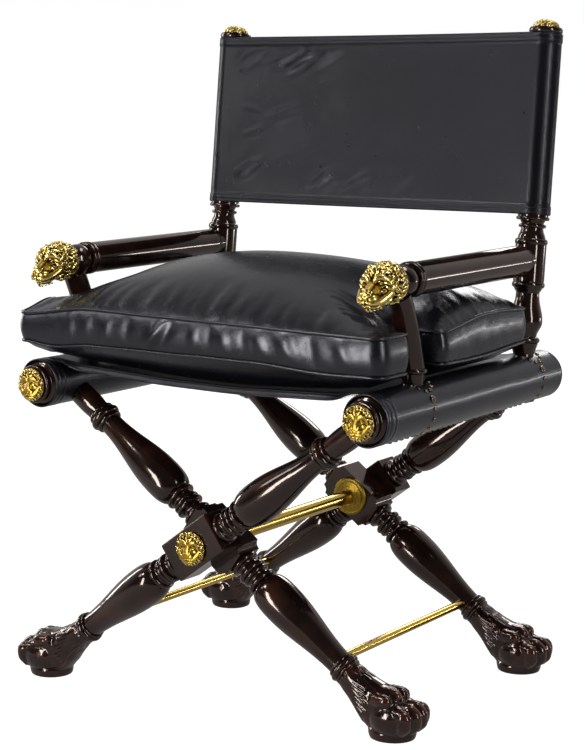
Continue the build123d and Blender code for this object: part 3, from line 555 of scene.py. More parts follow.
def mask_skin(radius, depth):
    """A disc with a lion mask in half relief and locks out to its edge; its back is at y = 0."""
    mesh = bmesh.new()
    lion_face(mesh)
    face_share = 0.70 * radius / 24.0
    flatten = Matrix.Diagonal((face_share, depth / 46.0, face_share, 1.0))
    lifted = Matrix.Translation((0, 0, 0.12 * radius)) @ flatten
    bmesh.ops.transform(mesh, matrix=lifted, verts=mesh.verts)
    blob(mesh, (0, 0, 0), (0.98 * radius, 0.30 * depth, 0.98 * radius))
    dice = Random(9)
    for reach_share, count in ((0.66, 20), (0.78, 24)):
        for index in range(count):
            angle = 2 * pi * (index + dice.uniform(-0.2, 0.2)) / count
            reach = radius * reach_share
            rise = 0.34 * depth * sqrt(1.0 - reach_share**2)
            out = Vector((0.35 * cos(angle), -1.0, 0.35 * sin(angle))).normalized()
            spoke = Vector((cos(angle), 0, sin(angle)))
            flat_spoke = (spoke - out * spoke.dot(out)).normalized()
            flow = Matrix.Rotation(radians(dice.uniform(-50, 50)), 3, out) @ flat_spoke
            place = Vector((reach * cos(angle), -rise, reach * sin(angle)))
            lock(mesh, place, out, flow, 0.24 * radius, 0.058 * radius, dice.choice((-0.07, 0.07)) * radius)
    bmesh.ops.bisect_plane(
        mesh,
        geom=mesh.verts[:] + mesh.edges[:] + mesh.faces[:],
        plane_co=(0, 1.5, 0),
        plane_no=(0, 1, 0),
        clear_outer=True,
    )
    bmesh.ops.holes_fill(mesh, edges=mesh.edges)
    return fused("mask", mesh, radius / 62.0, 1)


def knop_skin(radius, height):
    """A low knop of cast curls, standing on z = 0."""
    mesh = bmesh.new()
    blob(mesh, (0, 0, 0.1 * height), (0.93 * radius, 0.93 * radius, 0.66 * height))
    dice = Random(17)
    for way in even_ways(120):
        if way.z < 0.02:
            continue
        place = Vector((0.9 * radius * way.x, 0.9 * radius * way.y, 0.1 * height + 0.62 * height * way.z))
        size = 0.16 * radius + 0.05 * radius * dice.random()
        curl(mesh, place, way, size, 2 * pi * dice.random(), dice.choice((-1, 1)))
    return fused("knop", mesh, 0.5, 1)


def show_cast(skin, name, like, y, z, turn=Matrix.Identity(4)):
    """Shows a casting in place of the plain solid like, in the middle of its width."""
    low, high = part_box(like)
    matrix = Matrix.Translation(((low.x + high.x) / 2, y, z)) @ turn
    add_piece(name, placed(skin, like, matrix), gilt, like, [like])


lion_head = lion_head_skin()
mask = mask_skin(24.0, 10.0)
knop = knop_skin(18.6, 14.0)
head_reach, mask_seat, crossing_seat, knop_seat = 24 * mm, 3 * mm, 2 * mm, 3 * mm
post_tilt = Euler((-post_lean, 0, 0)).to_matrix().to_4x4()
for side_name in sides:
    show_cast(lion_head, f"lion_{side_name}", f"lion_head_{side_name}", head_back - head_reach, arm_z)
    medallion, finial = f"rail_medallion_{side_name}", f"finial_{side_name}"
    low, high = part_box(medallion)
    show_cast(mask, f"mask_{side_name}", medallion, rail_front - mask_seat, (low.z + high.z) / 2)
    low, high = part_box(finial)
    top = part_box(f"post_cap_{side_name}")[1].z
    show_cast(knop, f"knop_{side_name}", finial, (low.y + high.y) / 2, top - knop_seat, post_tilt)
low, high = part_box("bolt_cap_front")
show_cast(mask, "mask_crossing", "bolt_cap_front", high.y - crossing_seat, (low.z + high.z) / 2)


# ---------------- lion paws
def pressed(mesh, first, across, share):
    """Narrows the vertices made since first, about their middle across the paw."""
    mesh.verts.ensure_lookup_table()
    for vertex in mesh.verts[first:]:
        vertex.co.y = across + (vertex.co.y - across) * share


def paw_skin():
    """A carved lion paw of four toes in two joints, with combed fur down its heel.

    It points along +X, from below the middle of the ankle, on the floor."""
    mesh = bmesh.new()
    forms = (  # x, z, half height, half width, slope of the leg there in degrees
        (-5, 78.7, 17.2, 17.2, 36),
        (2, 73.6, 17.6, 17.6, 36),
        (17, 62.0, 20.0, 20.0, 34),
        (32, 49.5, 25.5, 22.5, 26),
        (46, 38.5, 31.0, 25.0, 16),
        (60, 35.5, 32.0, 27.0, 8),
        (74, 34.0, 31.5, 28.5, 3),
        (85, 29.0, 26.5, 27.0, 0),
        (92, 24.0, 20.0, 24.0, 0),
    )
    squareness = 0.78
    rings = []
    for x, z, half_height, half_width, slope in forms:
        up = Vector((sin(radians(slope)), 0, cos(radians(slope))))
        ring = []
        for corner in range(28):
            angle = 2 * pi * corner / 28
            across = copysign(abs(cos(angle)) ** squareness, cos(angle))
            rise = copysign(abs(sin(angle)) ** squareness, sin(angle))
            ring.append(Vector((x, half_width * across, z)) + up * half_height * rise)
        rings.append(ring)
    loft(mesh, rings)
    for side in (-1, 1):
        blob(mesh, (75, 12.5 * side, 28), (33, 21.0, 25.5))
    rings = []
    for z, share in ((-3, 0.93), (2, 0.99), (6, 1.0), (10, 0.99), (13, 0.94), (14.5, 0.86)):
        ring = []
        for corner in range(40):
            angle = 2 * pi * corner / 40
            lean = 2.5 * (cos(angle) < 0)
            ring.append((68 + (33.5 - lean + 0.2 * z) * share * cos(angle), 29.5 * share * sin(angle), z))
        rings.append(ring)
    loft(mesh, rings)
    tree = BVHTree.FromBMesh(mesh)
    toe_pitch = 14.6
    for index in range(4):
        outer = index in (0, 3)
        across = (index - 1.5) * toe_pitch
        back = 6.5 if outer else 0.0
        low = 4.5 if outer else 0.0
        first = len(mesh.verts)
        worm(mesh, [(60 - back, across * 0.95, 54.5 - low), (69 - back, across, 58 - low),
                    (79 - back, across * 1.02, 57.0 - low)], [6.8, 9.0, 9.4], 20, 4)
        pressed(mesh, first, across, 0.86)
        first = len(mesh.verts)
        worm(mesh, [(90 - back, across, 45 - low), (101 - back, across * 1.03, 42 - low),
                    (107 - back, across * 1.05, 35), (107 - back, across * 1.04, 26),
                    (103 - back, across, 19)], [7.0, 9.6, 11.2, 11.0, 8.8], 20, 5)
        pressed(mesh, first, across * 1.04, 0.86)
        worm(mesh, [(12, across * 0.34, 79.5 - 0.012 * across**2),
                    (30, across * 0.5, 67 - 0.012 * across**2),
                    (48, across * 0.75, 61 - 0.010 * across**2),
                    (64 - back, across * 0.95, 60 - low)], [2.6, 3.8, 5.4, 8.0], 12, 3)
    dice = Random(23)
    ankle = Vector((0, 0, 75))
    slope = Vector((cos(radians(36)), 0, -sin(radians(36))))
    rise = Vector((-slope.z, 0, slope.x))
    for side in (-1, 1):
        for row in range(14):
            height = -24.5 + 2.5 * row
            start, reach = 10 * dice.random() - 6, 64 - 2.6 * max(0, row - 4) + 10 * dice.random()
            points, along = [], start
            while along < reach:
                spread = 1.0 + 0.016 * max(along, 0.0)
                wave = 1.5 * sin(0.13 * along + 0.7 * row)
                place = ankle + slope * along + rise * (height * spread + wave)
                hit = tree.ray_cast(Vector((place.x, 80 * side, place.z)), Vector((0, -side, 0)))[0]
                if hit is None or hit.y * side < 4 or place.z < 15:
                    break
                points.append(hit + Vector((0, 0.3 * side, 0)))
                along += 4.0
            if len(points) > 3:
                worm(mesh, points, [0.5] + [1.6] * (len(points) - 2) + [0.4], 7)
    for row in range(2):
        for index in range(22):
            around = 2 * pi * (index + 0.5 * row) / 22
            out = (Vector((0, cos(around), 0)) + rise * sin(around)).normalized()
            start = 14.0 * row + 4 * dice.random()
            points = []
            for step in range(5):
                axis = ankle + slope * (start + 4.4 * step)
                hit = tree.ray_cast(axis + out * 60, -out)[0]
                points.append(hit - out * (0.25 * abs(step - 2)))
            worm(mesh, points, [0.5, 1.0, 1.15, 1.0, 0.5], 6)
    skin = fused("paw", mesh, 1.0, 4, 30)
    for vertex in skin.vertices:
        vertex.co.z = max(vertex.co.z, 0.0)
    return skin


ankle_x = 213.79 * mm
paw = paw_skin()
for pair in ("inner", "outer"):
    for place in ("front", "rear"):
        name = f"paw_{pair}_{place}"
        low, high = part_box(name)
        side = 1 if high.x > 0 else -1
        mirrored = Matrix.Diagonal((side, 1, 1, 1))
        matrix = Matrix.Translation((side * ankle_x, (low.y + high.y) / 2, 0)) @ mirrored
        add_piece(f"carved_{name}", placed(paw, name, matrix), wood, name, [name])


# ---------------- leather tools
def ripple(x, y, z=0.0):
    """Smooth wandering value, about -1 to 1."""
    return noise.noise(Vector((x, y, z)))


def smooth_step(low, high, value):
    """0 up to low and 1 from high, and a smooth rise between."""
    share = min(max((value - low) / (high - low), 0.0), 1.0)
    return share * share * (3.0 - 2.0 * share)


sling_thickness, tube_thickness = 2.6, 1.5
stitch_pitch, stitch_length, thread_radius = 3.4, 2.3, 0.42
thread_over, thread_under = 0.1, -sling_thickness - 0.1


def hide(name, columns, rows, surface):
    """A sling's leather over a grid of the two coordinates of surface, with its thickness behind it."""
    mesh = bmesh.new()
    grid = [[mesh.verts.new(Vector(surface(column, row)) * mm) for row in rows] for column in columns]
    for first, second in zip(grid, grid[1:]):
        for index in range(len(rows) - 1):
            mesh.faces.new((first[index], second[index], second[index + 1], first[index + 1]))
    bmesh.ops.solidify(mesh, geom=mesh.faces, thickness=sling_thickness * mm)
    bmesh.ops.recalc_face_normals(mesh, faces=mesh.faces)
    return to_data(mesh, name)


def tube(name, rings):
    """A leather tube through rings of points."""
    mesh = bmesh.new()
    skinned(mesh, [[mesh.verts.new(Vector(point) * mm) for point in ring] for ring in rings])
    bmesh.ops.recalc_face_normals(mesh, faces=mesh.faces)
    bmesh.ops.solidify(mesh, geom=mesh.faces, thickness=tube_thickness * mm)
    bmesh.ops.recalc_face_normals(mesh, faces=mesh.faces)
    return to_data(mesh, name)


def even(low, high, step, extra=()):
    """Numbers from low to high about step apart, with some extra ones between."""
    count = max(1, round((high - low) / step))
    values = {round(low + (high - low) * index / count, 4) for index in range(count + 1)}
    near = {value for value in extra if low < value < high}
    values = {value for value in values if all(abs(value - other) > 0.3 * step for other in near)}
    return sorted(values | near | {low, high})


def thread_line(mesh, line, ups):
    """Stitches of thread along a line of points; ups are the ways out of the leather."""
    travelled, due = 0.0, stitch_pitch / 2
    for index in range(len(line) - 1):
        start, end = Vector(line[index]), Vector(line[index + 1])
        span = (end - start).length
        while due <= travelled + span:
            share = (due - travelled) / span
            way = (end - start).normalized()
            middle = start.lerp(end, share)
            up = Vector(ups[index]).lerp(Vector(ups[index + 1]), share).normalized()
            half = way * stitch_length / 2
            worm(mesh, [middle - half + up * 0.02, middle + up * 0.28, middle + half + up * 0.02],
                 [0.7 * thread_radius, thread_radius, 0.7 * thread_radius], 6)
            due += stitch_pitch
        travelled += span


def trim_piece(name, mesh, material, like):
    """Stitches or piping, as a piece of their own."""
    data = to_data(mesh, name)
    data.transform(Matrix.Scale(mm, 4))
    return add_piece(name, data, material, like)


def stitched(name, like, seams):
    """A piece of stitches; each seam is a line of points with their ways out of the leather."""
    mesh = bmesh.new()
    for line, ups in seams:
        thread_line(mesh, line, ups)
    return trim_piece(name, mesh, thread, like)


def folds_with_the_frame(*pieces):
    """Gives each piece its own copy of its mesh; nothing here makes the slings or the cushion crumple as
    the chair folds.
    """
    for piece in pieces:
        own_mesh(piece)


# ---------------- leather round the rails and over the seat
seat_low, seat_high = (1000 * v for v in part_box("seat_panel"))
wrap_front, wrap_back = 1000 * leather_low.y, 1000 * leather_high.y
wrap_radius = 1000 * roll_radius
wrap_x, wrap_z = 1000 * rail_x, 1000 * rail_z
hem = 13.0
stitch_rows = (3.4, 9.6)
cover_front = wrap_front - 9.0
wrap_hem, wrap_rows = 23.0, (8.0, 18.5)


def wrap_surface(side, angle, y):
    """Rail cover at an angle round the rail; 0 is outwards and 90 up."""
    from_front = y - cover_front
    edge = 1.0 - smooth_step(0.0, 1.6, from_front)
    folded = 1.0 - smooth_step(wrap_hem - 0.8, wrap_hem + 0.8, from_front)
    radius = wrap_radius + 0.4 * folded - 1.0 * edge
    for row in wrap_rows:
        radius -= 0.8 * exp(-(((from_front - row) / 1.1) ** 2))
    turn = radians(angle)
    behind_hem = smooth_step(wrap_hem, wrap_hem + 25, from_front)
    radius += 0.3 * ripple(2.0 * cos(turn), 0.02 * y, 2.0 * sin(turn)) * behind_hem
    return side * (wrap_x + radius * cos(turn)), y, wrap_z + radius * sin(turn)


hem_lines = [0.5, 1.0, 1.6, wrap_hem - 0.8, wrap_hem, wrap_hem + 0.8]
hem_lines += [row + step for row in wrap_rows for step in (-2.2, -1.1, -0.5, 0.0, 0.5, 1.1, 2.2)]
wrap_ys = even(cover_front, wrap_back, 9.0, [cover_front + value for value in hem_lines])
wrap_angles = even(-180.0, 180.0, 5.0)[:-1]
thread_bed = wrap_radius - 0.4
for side_name, side in sides.items():
    like = f"rail_leather_{side_name}"
    rings = [[wrap_surface(side, angle, y) for angle in wrap_angles] for y in wrap_ys]
    name = f"rail_cover_{side_name}"
    add_piece(name, tube(name, rings), sling_leather, like, [like])
    seams = []
    for row in wrap_rows:
        line, ups = [], []
        for angle in range(-180, 181, 6):
            turn = radians(angle)
            x, z = side * (wrap_x + thread_bed * cos(turn)), wrap_z + thread_bed * sin(turn)
            line.append((x, cover_front + row, z))
            ups.append((side * cos(turn), 0.0, sin(turn)))
        seams.append((line, ups))
    stitched(f"rail_cover_stitches_{side_name}", like, seams)


def hem_relief(from_edge):
    """How far the folded hem stands out, at a distance from the sling's edge."""
    relief = 0.9 * (1.0 - smooth_step(hem - 0.6, hem + 0.6, from_edge))
    relief -= 1.2 * (1.0 - smooth_step(0.0, 1.6, from_edge)) ** 2
    for row in stitch_rows:
        relief -= 0.3 * exp(-(((from_edge - row) / 0.8) ** 2))
    return relief


def seat_height(x, y):
    """Top of the seat sling, which hangs from the tops of the rails and is pressed down by the cushion."""
    share = x / wrap_x
    hang = 11.0 + 14.5 * smooth_step(0.0, 93.0, y - seat_low.y) * smooth_step(-15.0, 55.0, seat_high.y - y)
    level = wrap_z + wrap_radius - hang * (1.0 - share * share) ** 1.1
    return level - 2.0 * share + 0.9 * ripple(0.012 * x, 0.01 * y, 4.0)


def seat_surface(x, y, lift=0.0):
    """Top of the sling with its stitched edges turned down over the front and the back."""
    from_edge, way = min((y - seat_low.y, -1.0), (seat_high.y - y, 1.0))
    bend = edge_turn * (1.0 - smooth_step(205.0, 258.0, abs(x)))
    past = max(0.0, edge_band - from_edge)
    angle = min(past / edge_radius, bend)
    straight = past - angle * edge_radius
    forward = edge_radius * sin(angle) + straight * cos(angle)
    down = edge_radius * (1.0 - cos(angle)) + straight * sin(angle)
    relief = hem_relief(from_edge) + lift
    place = Vector((x, y + way * (forward - past), seat_height(x, y) - down))
    return place + relief * Vector((0.0, way * sin(angle), cos(angle)))


edge_band, edge_radius, edge_turn = 17.0, 9.0, radians(62.0)
seat_reach = wrap_x - 9.0
edge_lines = (0.5, 1.0, 1.6, 2.6, 3.4, 4.2, 8.8, 9.6, 10.4, hem - 0.6, hem, hem + 0.6)
seat_rows = even(seat_low.y, seat_high.y, 11.0,
                 [seat_low.y + v for v in edge_lines] + [seat_high.y - v for v in edge_lines])
seat_columns = even(-seat_reach, seat_reach, 10.0)
seat_sheet = hide("seat_sling", seat_columns, seat_rows, seat_surface)
seat_sling = add_piece("seat_sling", seat_sheet, sling_leather, "seat_panel", ["seat_panel"])
seams = []
for start, way in ((seat_low.y, 1), (seat_high.y, -1)):
    for row in stitch_rows:
        for face, lift in ((1, thread_over), (-1, thread_under)):
            line = [seat_surface(x, start + way * row, lift) for x in even(-seat_reach, seat_reach, 8.0)]
            up = Vector((0.0, -way * sin(edge_turn), cos(edge_turn))) * face
            seams.append((line, [up] * len(line)))
seat_stitches = stitched("seat_stitches", "seat_panel", seams)
folds_with_the_frame(seat_sling, seat_stitches)

# ---------------- back sling and the sleeves round the posts
sleeve_radius = 25.0
sleeve_start, sleeve_end = 237.3, 499.3
post_way = Vector((0, sin(post_lean), cos(post_lean)))
front_way = Vector((0, -cos(post_lean), sin(post_lean)))
post_root = Vector((0, 176.1, wrap_z))
# Start and end (x, up from the sling's middle), depth and half width of each pulled fold.
back_folds = (
    ((-112, 106), (-176, 74), 3.6, 6.5),
    ((-140, 108), (-196, 84), 2.4, 5.0),
    ((-70, 110), (-132, 78), 1.8, 9.0),
    ((-205, 112), (-236, 92), 1.5, 6.0),
    ((-225, 104), (-262, 78), 1.2, 6.0),
    ((-190, 6), (-120, 26), 1.0, 6.0),
    ((-236, 22), (-196, 12), 0.9, 4.0),
    ((-232, -22), (-196, -10), 0.8, 4.0),
    ((-100, -104), (-58, -70), 1.2, 7.0),
    ((-36, -106), (4, -78), 1.0, 7.0),
    ((60, -106), (96, -82), 0.8, 8.0),
    ((-240, -84), (-200, -62), 1.4, 6.0),
)
sling_middle = (sleeve_start + sleeve_end) / 2
sling_half = (sleeve_end - sleeve_start) / 2


def pulled_fold(x, up):
    """Relief of the folds that the stretched hems pull into the leather."""
    relief = 0.0
    for start, end, depth, width in back_folds:
        span = Vector(end) - Vector(start)
        share = max(0.0, min(1.0, (Vector((x, up)) - Vector(start)).dot(span) / span.length_squared))
        near = Vector(start) + span * share
        off = hypot(x - near.x, up - near.y)
        relief += depth * exp(-((off / width) ** 2)) * (0.25 + 0.75 * sin(pi * min(1.0, 0.12 + share)))
        relief -= 0.5 * depth * exp(-(((off - 1.9 * width) / width) ** 2)) * sin(pi * min(1.0, 0.1 + share))
    return relief


def back_way(x):
    """Way out of the leather: forwards on the sling, and out of the rolls where it goes round the posts."""
    turn = max(0.0, abs(x) - wrap_x) / back_roll
    return front_way * cos(turn) + Vector((copysign(sin(turn), x), 0, 0))


def back_surface(x, up):
    """Front of the back leather, from one roll to the other; up is from its middle, along the posts."""
    flat_x = min(max(x, -wrap_x), wrap_x)
    from_edge = sling_half - abs(up)
    body = smooth_step(hem, hem + 30.0, from_edge)
    free = smooth_step(wrap_x, wrap_x - 45.0, abs(x))
    out = back_roll - back_sag * (1.0 - (flat_x / wrap_x) ** 2) * (0.75 + 0.25 * body)
    out += hem_relief(from_edge)
    waves = 0.8 * ripple(0.011 * x, 0.016 * up, 1.0) + 0.3 * ripple(0.03 * x, 0.028 * up, 7.0)
    out += free * body * waves
    out += free * pulled_fold(x, up) * smooth_step(hem, hem + 9.0, from_edge)
    return post_root + Vector((flat_x, 0, 0)) + post_way * (sling_middle + up) + back_way(x) * out


back_roll, back_sag = sleeve_radius - 0.8, 9.0
back_reach = wrap_x + radians(130.0) * back_roll
up_lines = [sign * (sling_half - v) for v in edge_lines for sign in (-1, 1)]
back_ups = even(-sling_half, sling_half, 3.6, up_lines)
back_sheet = hide("back_sling", even(-back_reach, back_reach, 3.6), back_ups, back_surface)
back_sling = add_piece("back_sling", back_sheet, sling_leather, "back_panel", ["back_panel"])
seams = []
for edge in (-1, 1):
    for row in stitch_rows:
        for face, lift in ((1, thread_over), (-1, thread_under)):
            reach = back_reach if face > 0 else wrap_x - 20.0
            columns = even(-reach, reach, 6.0)
            line = [back_surface(x, edge * (sling_half - row)) + back_way(x) * lift for x in columns]
            seams.append((line, [back_way(x) * face for x in columns]))
back_stitches = stitched("back_stitches", "back_panel", seams)
folds_with_the_frame(back_sling, back_stitches)


def sleeve_point(side, angle, up, lift=0.0):
    """A point of the sleeve and its way out; angle 0 is outwards from the post and 90 to the front."""
    turn = radians(angle)
    radius = sleeve_radius - 2.4 + 0.5 * hem_relief(sling_half - abs(up)) + lift
    radius += 0.35 * ripple(1.6 * cos(turn), 0.02 * up, 1.6 * sin(turn) + side)
    out = Vector((side * cos(turn), 0, 0)) + front_way * sin(turn)
    axis = post_root + Vector((side * wrap_x, 0, 0)) + post_way * (sling_middle + up)
    return axis + out * radius, out


sleeve_ups = even(-sling_half, sling_half, 9.0, up_lines)
sleeve_angles = even(-180.0, 180.0, 6.0)[:-1]
for side_name, side in sides.items():
    like = f"back_sleeve_{side_name}"
    rings = [[sleeve_point(side, angle, up)[0] for angle in sleeve_angles] for up in sleeve_ups]
    name = f"sleeve_{side_name}"
    add_piece(name, tube(name, rings), sling_leather, like, [like])
    seams = []
    for up in (edge * (sling_half - row) for edge in (-1, 1) for row in stitch_rows):
        marks = [sleeve_point(side, angle, up, 0.2) for angle in range(-180, 181, 8)]
        seams.append(tuple(zip(*marks)))
    stitched(f"sleeve_stitches_{side_name}", like, seams)


# ---------------- loose cushion
cushion_low, cushion_high = (1000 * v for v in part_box("cushion_cover"))
zero_y = cushion_low.y + 259.0  # from here the heights of the welts are measured
notch_front, notch_back, notch_depth = zero_y - 187.0, zero_y - 107.0, 50.0
cushion_back = cushion_high.y - 2.5
crown, crown_fullness = 75.0, 0.68
seam_x, seam_front = cushion_high.x - 1.5, cushion_low.y + 3.5


def cushion_plan():
    """Corners of the cushion from the front left, round by the right, as (x, y, radius of the corner)."""
    inner = seam_x - notch_depth
    right = [
        (seam_x, seam_front, 17.0),
        (seam_x, notch_front, 14.0),
        (inner, notch_front + 4, 15.0),
        (inner, notch_back - 4, 15.0),
        (seam_x, notch_back, 14.0),
        (seam_x - 3, cushion_back, 22.0),
    ]
    left = [(-x, y, radius) for x, y, radius in reversed(right)]
    left[-1] = (-seam_x - 8.0, seam_front - 1.0, 14.0)
    return right + left


def rounded_loop(corners, step):
    """Points about step apart along a closed line with rounded corners."""
    dense = []
    for index, (x, y, radius) in enumerate(corners):
        here = Vector((x, y))
        before = Vector(corners[index - 1][:2])
        after = Vector(corners[(index + 1) % len(corners)][:2])
        way_in, way_out = (here - before).normalized(), (after - here).normalized()
        start, end = here - way_in * radius, here + way_out * radius
        for part in range(13):
            t = part / 12
            dense.append((1 - t) ** 2 * start + 2 * t * (1 - t) * here + t * t * end)
    closed = dense + [dense[0]]
    lengths = [0.0]
    for first, second in zip(closed, closed[1:]):
        lengths.append(lengths[-1] + (second - first).length)
    count = round(lengths[-1] / step)
    points, at = [], 0
    for index in range(count):
        wanted = lengths[-1] * index / count
        while lengths[at + 1] < wanted:
            at += 1
        share = (wanted - lengths[at]) / max(lengths[at + 1] - lengths[at], 1e-9)
        points.append(closed[at].lerp(closed[at + 1], share))
    return points


def front_left(x, y):
    """Share of the front left corner, which hangs a little lower than the rest."""
    return smooth_step(-175.0, -seam_x, x) * smooth_step(-195.0, -255.0, y)


def top_seam_height(x, y):
    """Height of the upper welt."""
    y -= zero_y
    height = 544.5 - 4.5 * x / seam_x - front_left(x, y) * 15.0
    beside = smooth_step(240.0, 262.0, abs(x)) * smooth_step(-200.0, -150.0, y)
    along = 532.0 + 13.0 * smooth_step(-115.0, 10.0, y) - 5.0 * smooth_step(40.0, 143.0, y)
    height += beside * (along - height)
    height += smooth_step(60.0, 143.0, y) * (1 - beside) * (541.0 - height)
    return height + 1.1 * ripple(0.013 * x, 0.013 * y, 3.0)


def low_seam_height(x, y):
    """Height of the lower welt."""
    y -= zero_y
    height = 495.0 + 12.0 * exp(-(((x + seam_x) / 42.0) ** 2)) - 6.0 * smooth_step(60.0, 240.0, x)
    height -= front_left(x, y) * 13.0
    beside = smooth_step(240.0, 262.0, abs(x)) * smooth_step(-190.0, -140.0, y)
    along = 490.0 - 3.0 * smooth_step(-107.0, -30.0, y) + 5.0 * smooth_step(0.0, 143.0, y)
    height += beside * (along - height)
    return height + 1.3 * ripple(0.012 * x, 0.012 * y, 9.0)


def dome(points, triangles, fixed):
    """Heights of a skin held at its fixed points and blown up evenly, from 0 to 1."""
    pairs = {tuple(sorted(pair)) for a, b, c in triangles for pair in ((a, b), (b, c), (c, a))}
    edges = np.array(sorted(pairs))
    first, second = edges[:, 0], edges[:, 1]
    free = np.ones(len(points))
    free[fixed] = 0.0
    spans = np.linalg.norm(points[first] - points[second], axis=1)
    weights = 1.0 / spans

    def pull(heights):
        change = weights * (heights[first] - heights[second])
        total = np.bincount(first, change, len(points)) - np.bincount(second, change, len(points))
        return free * total

    heights = np.zeros(len(points))
    load = free * np.bincount(first, spans, len(points)) + free * np.bincount(second, spans, len(points))
    rest = load - pull(heights)
    way = rest.copy()
    energy = rest @ rest
    for _ in range(900):
        pulled = pull(way)
        step = energy / (way @ pulled)
        heights += step * way
        rest -= step * pulled
        fresh = rest @ rest
        if fresh < 1e-10 * (load @ load):
            break
        way = rest + fresh / energy * way
        energy = fresh
    return heights / heights.max()


def sling_under(x, y):
    """What the cushion lies on: the sling, and the rails beside it."""
    on_sling = seat_height(x, y) if abs(x) < seat_reach else wrap_z + wrap_radius
    return max(on_sling, 0.0) + 2.6


# x at the lower welt, x at the upper welt, depth and half width of each crease of the front boxing.
boxing_folds = (
    (-82.0, -40.0, 4.2, 9.0),
    (-60.0, -22.0, -2.6, 8.0),
    (-216.0, -210.0, 1.6, 6.0),
    (-190.0, -176.0, 1.6, 8.0),
    (-150.0, -141.0, 1.8, 6.0),
    (-112.0, -104.0, -1.6, 6.0),
    (4.0, 12.0, 1.6, 6.0),
    (32.0, 36.0, -1.4, 6.0),
    (62.0, 55.0, 1.8, 7.0),
    (92.0, 90.0, -1.5, 6.0),
    (128.0, 112.0, 1.8, 8.0),
    (172.0, 150.0, 3.2, 11.0),
    (205.0, 196.0, -2.4, 9.0),
    (262.0, 240.0, 2.6, 11.0),
)


def boxing_fold(x, share):
    """How far the creases of the front boxing stand out, at a share of its height."""
    relief = 0.0
    for low_x, high_x, depth, width in boxing_folds:
        line = low_x + (high_x - low_x) * share
        relief += depth * exp(-(((x - line) / width) ** 2)) * sin(pi * share) ** 0.6
    return relief


loop_step, grid_step = 6.0, 7.5


def flat_pattern(loop, rim):
    """Even triangles over the inside of the loop, and where the loop's points are among their corners."""
    inside = []
    row, y = 0, cushion_low.y
    while y < cushion_high.y:
        x = -seam_x + (grid_step / 2 if row % 2 else 0.0)
        while x < seam_x:
            inside.append(Vector((x, y)))
            x += grid_step
        y += grid_step * sqrt(0.75)
        row += 1
    inside = [point for point in inside if rim.find((point.x, point.y, 0))[2] > 0.62 * grid_step]
    ring = [(index, (index + 1) % len(loop)) for index in range(len(loop))]
    flat, _, faces, *_ = delaunay_2d_cdt(loop + inside, ring, [], 1, 1e-4)
    flat = np.array([(point.x, point.y) for point in flat])
    faces = [face for face in faces if inside_loop(loop, flat[list(face)].mean(axis=0))]
    used = sorted({corner for face in faces for corner in face})
    renumber = {old: new for new, old in enumerate(used)}
    flat = flat[used]
    faces = [[renumber[corner] for corner in face] for face in faces]
    one, two, three = flat[faces[0]]
    if (two - one)[0] * (three - one)[1] < (two - one)[1] * (three - one)[0]:
        faces = [list(reversed(face)) for face in faces]
    rim_index = [lookup_of(flat).find((point.x, point.y, 0))[1] for point in loop]
    return flat, faces, rim_index


def lookup_of(points):
    """Finds the nearest of some flat points."""
    lookup = KDTree(len(points))
    for index, point in enumerate(points):
        lookup.insert((point[0], point[1], 0), index)
    lookup.balance()
    return lookup


def cushion_top(x, y, height, place, near, away):
    """Height of the crown of the cushion; away is the distance from the welt, which is nearest at place."""
    seam_top = top_seam_height(place.x, place.y)
    blend_in = smooth_step(0.0, 110.0, away)
    rise = seam_top + blend_in * (542.0 - seam_top) + crown * height**crown_fullness
    along = near * loop_step
    pucker = ripple(0.062 * along, 0.012 * away, 2.0) + 0.5 * ripple(0.13 * along, 0.02 * away, 5.0)
    rise += 2.6 * pucker * smooth_step(0.0, 16.0, away) * (1.0 - smooth_step(24.0, 62.0, away))
    return rise + 2.2 * ripple(0.009 * x, 0.012 * y, 8.0) * blend_in


def cushion_skin():
    """Cushion cover before it is blown up: a top, a boxing and a belly between two sewn loops."""
    loop = rounded_loop(cushion_plan(), loop_step)
    rim = lookup_of(loop)
    flat, faces, rim_index = flat_pattern(loop, rim)
    heights = dome(flat, faces, rim_index)
    mesh = bmesh.new()
    top, belly = [], []
    for index, (x, y) in enumerate(flat):
        place, near, away = rim.find((x, y, 0))
        top.append(mesh.verts.new((x, y, cushion_top(x, y, heights[index], place, near, away))))
        seam_low = low_seam_height(place.x, place.y)
        sink = 1.0 - (1.0 - min(away / 52.0, 1.0)) ** 2
        belly.append(mesh.verts.new((x, y, seam_low + sink * (sling_under(x, y) - seam_low))))
    for face in faces:
        mesh.faces.new([top[corner] for corner in face])
        mesh.faces.new([belly[corner] for corner in reversed(face)])
    levels = 7
    walls = []
    for index, point in enumerate(loop):
        before, after = loop[index - 1], loop[(index + 1) % len(loop)]
        way = (after - before).normalized()
        out = Vector((way.y, -way.x, 0))
        in_notch = abs(point.x) < seam_x - 6 and notch_front - 2 < point.y < notch_back + 2
        swell = 1.5 if in_notch or point.y > cushion_back - 4 else 4.6
        swell *= 1.0 + 0.3 * ripple(0.07 * index, 0.0, 6.0)
        high, low = top[rim_index[index]], belly[rim_index[index]]
        wall = [low]
        for level in range(1, levels):
            share = level / levels
            middle = low.co.lerp(high.co, share) + out * swell * sin(pi * share)
            if point.y < seam_front + 12:
                middle += out * boxing_fold(point.x, share)
            wall.append(mesh.verts.new(middle))
        walls.append(wall + [high])
    for index, wall in enumerate(walls):
        after = walls[(index + 1) % len(walls)]
        for level in range(levels):
            mesh.faces.new((wall[level], after[level], after[level + 1], wall[level + 1]))
    bmesh.ops.recalc_face_normals(mesh, faces=mesh.faces)
    mesh.verts.index_update()
    seams = ([top[i].index for i in rim_index], [belly[i].index for i in rim_index])
    still = [vertex.index for vertex in belly]
    bmesh.ops.scale(mesh, vec=(mm, mm, mm), verts=mesh.verts)
    return to_data(mesh, "cushion"), seams, still


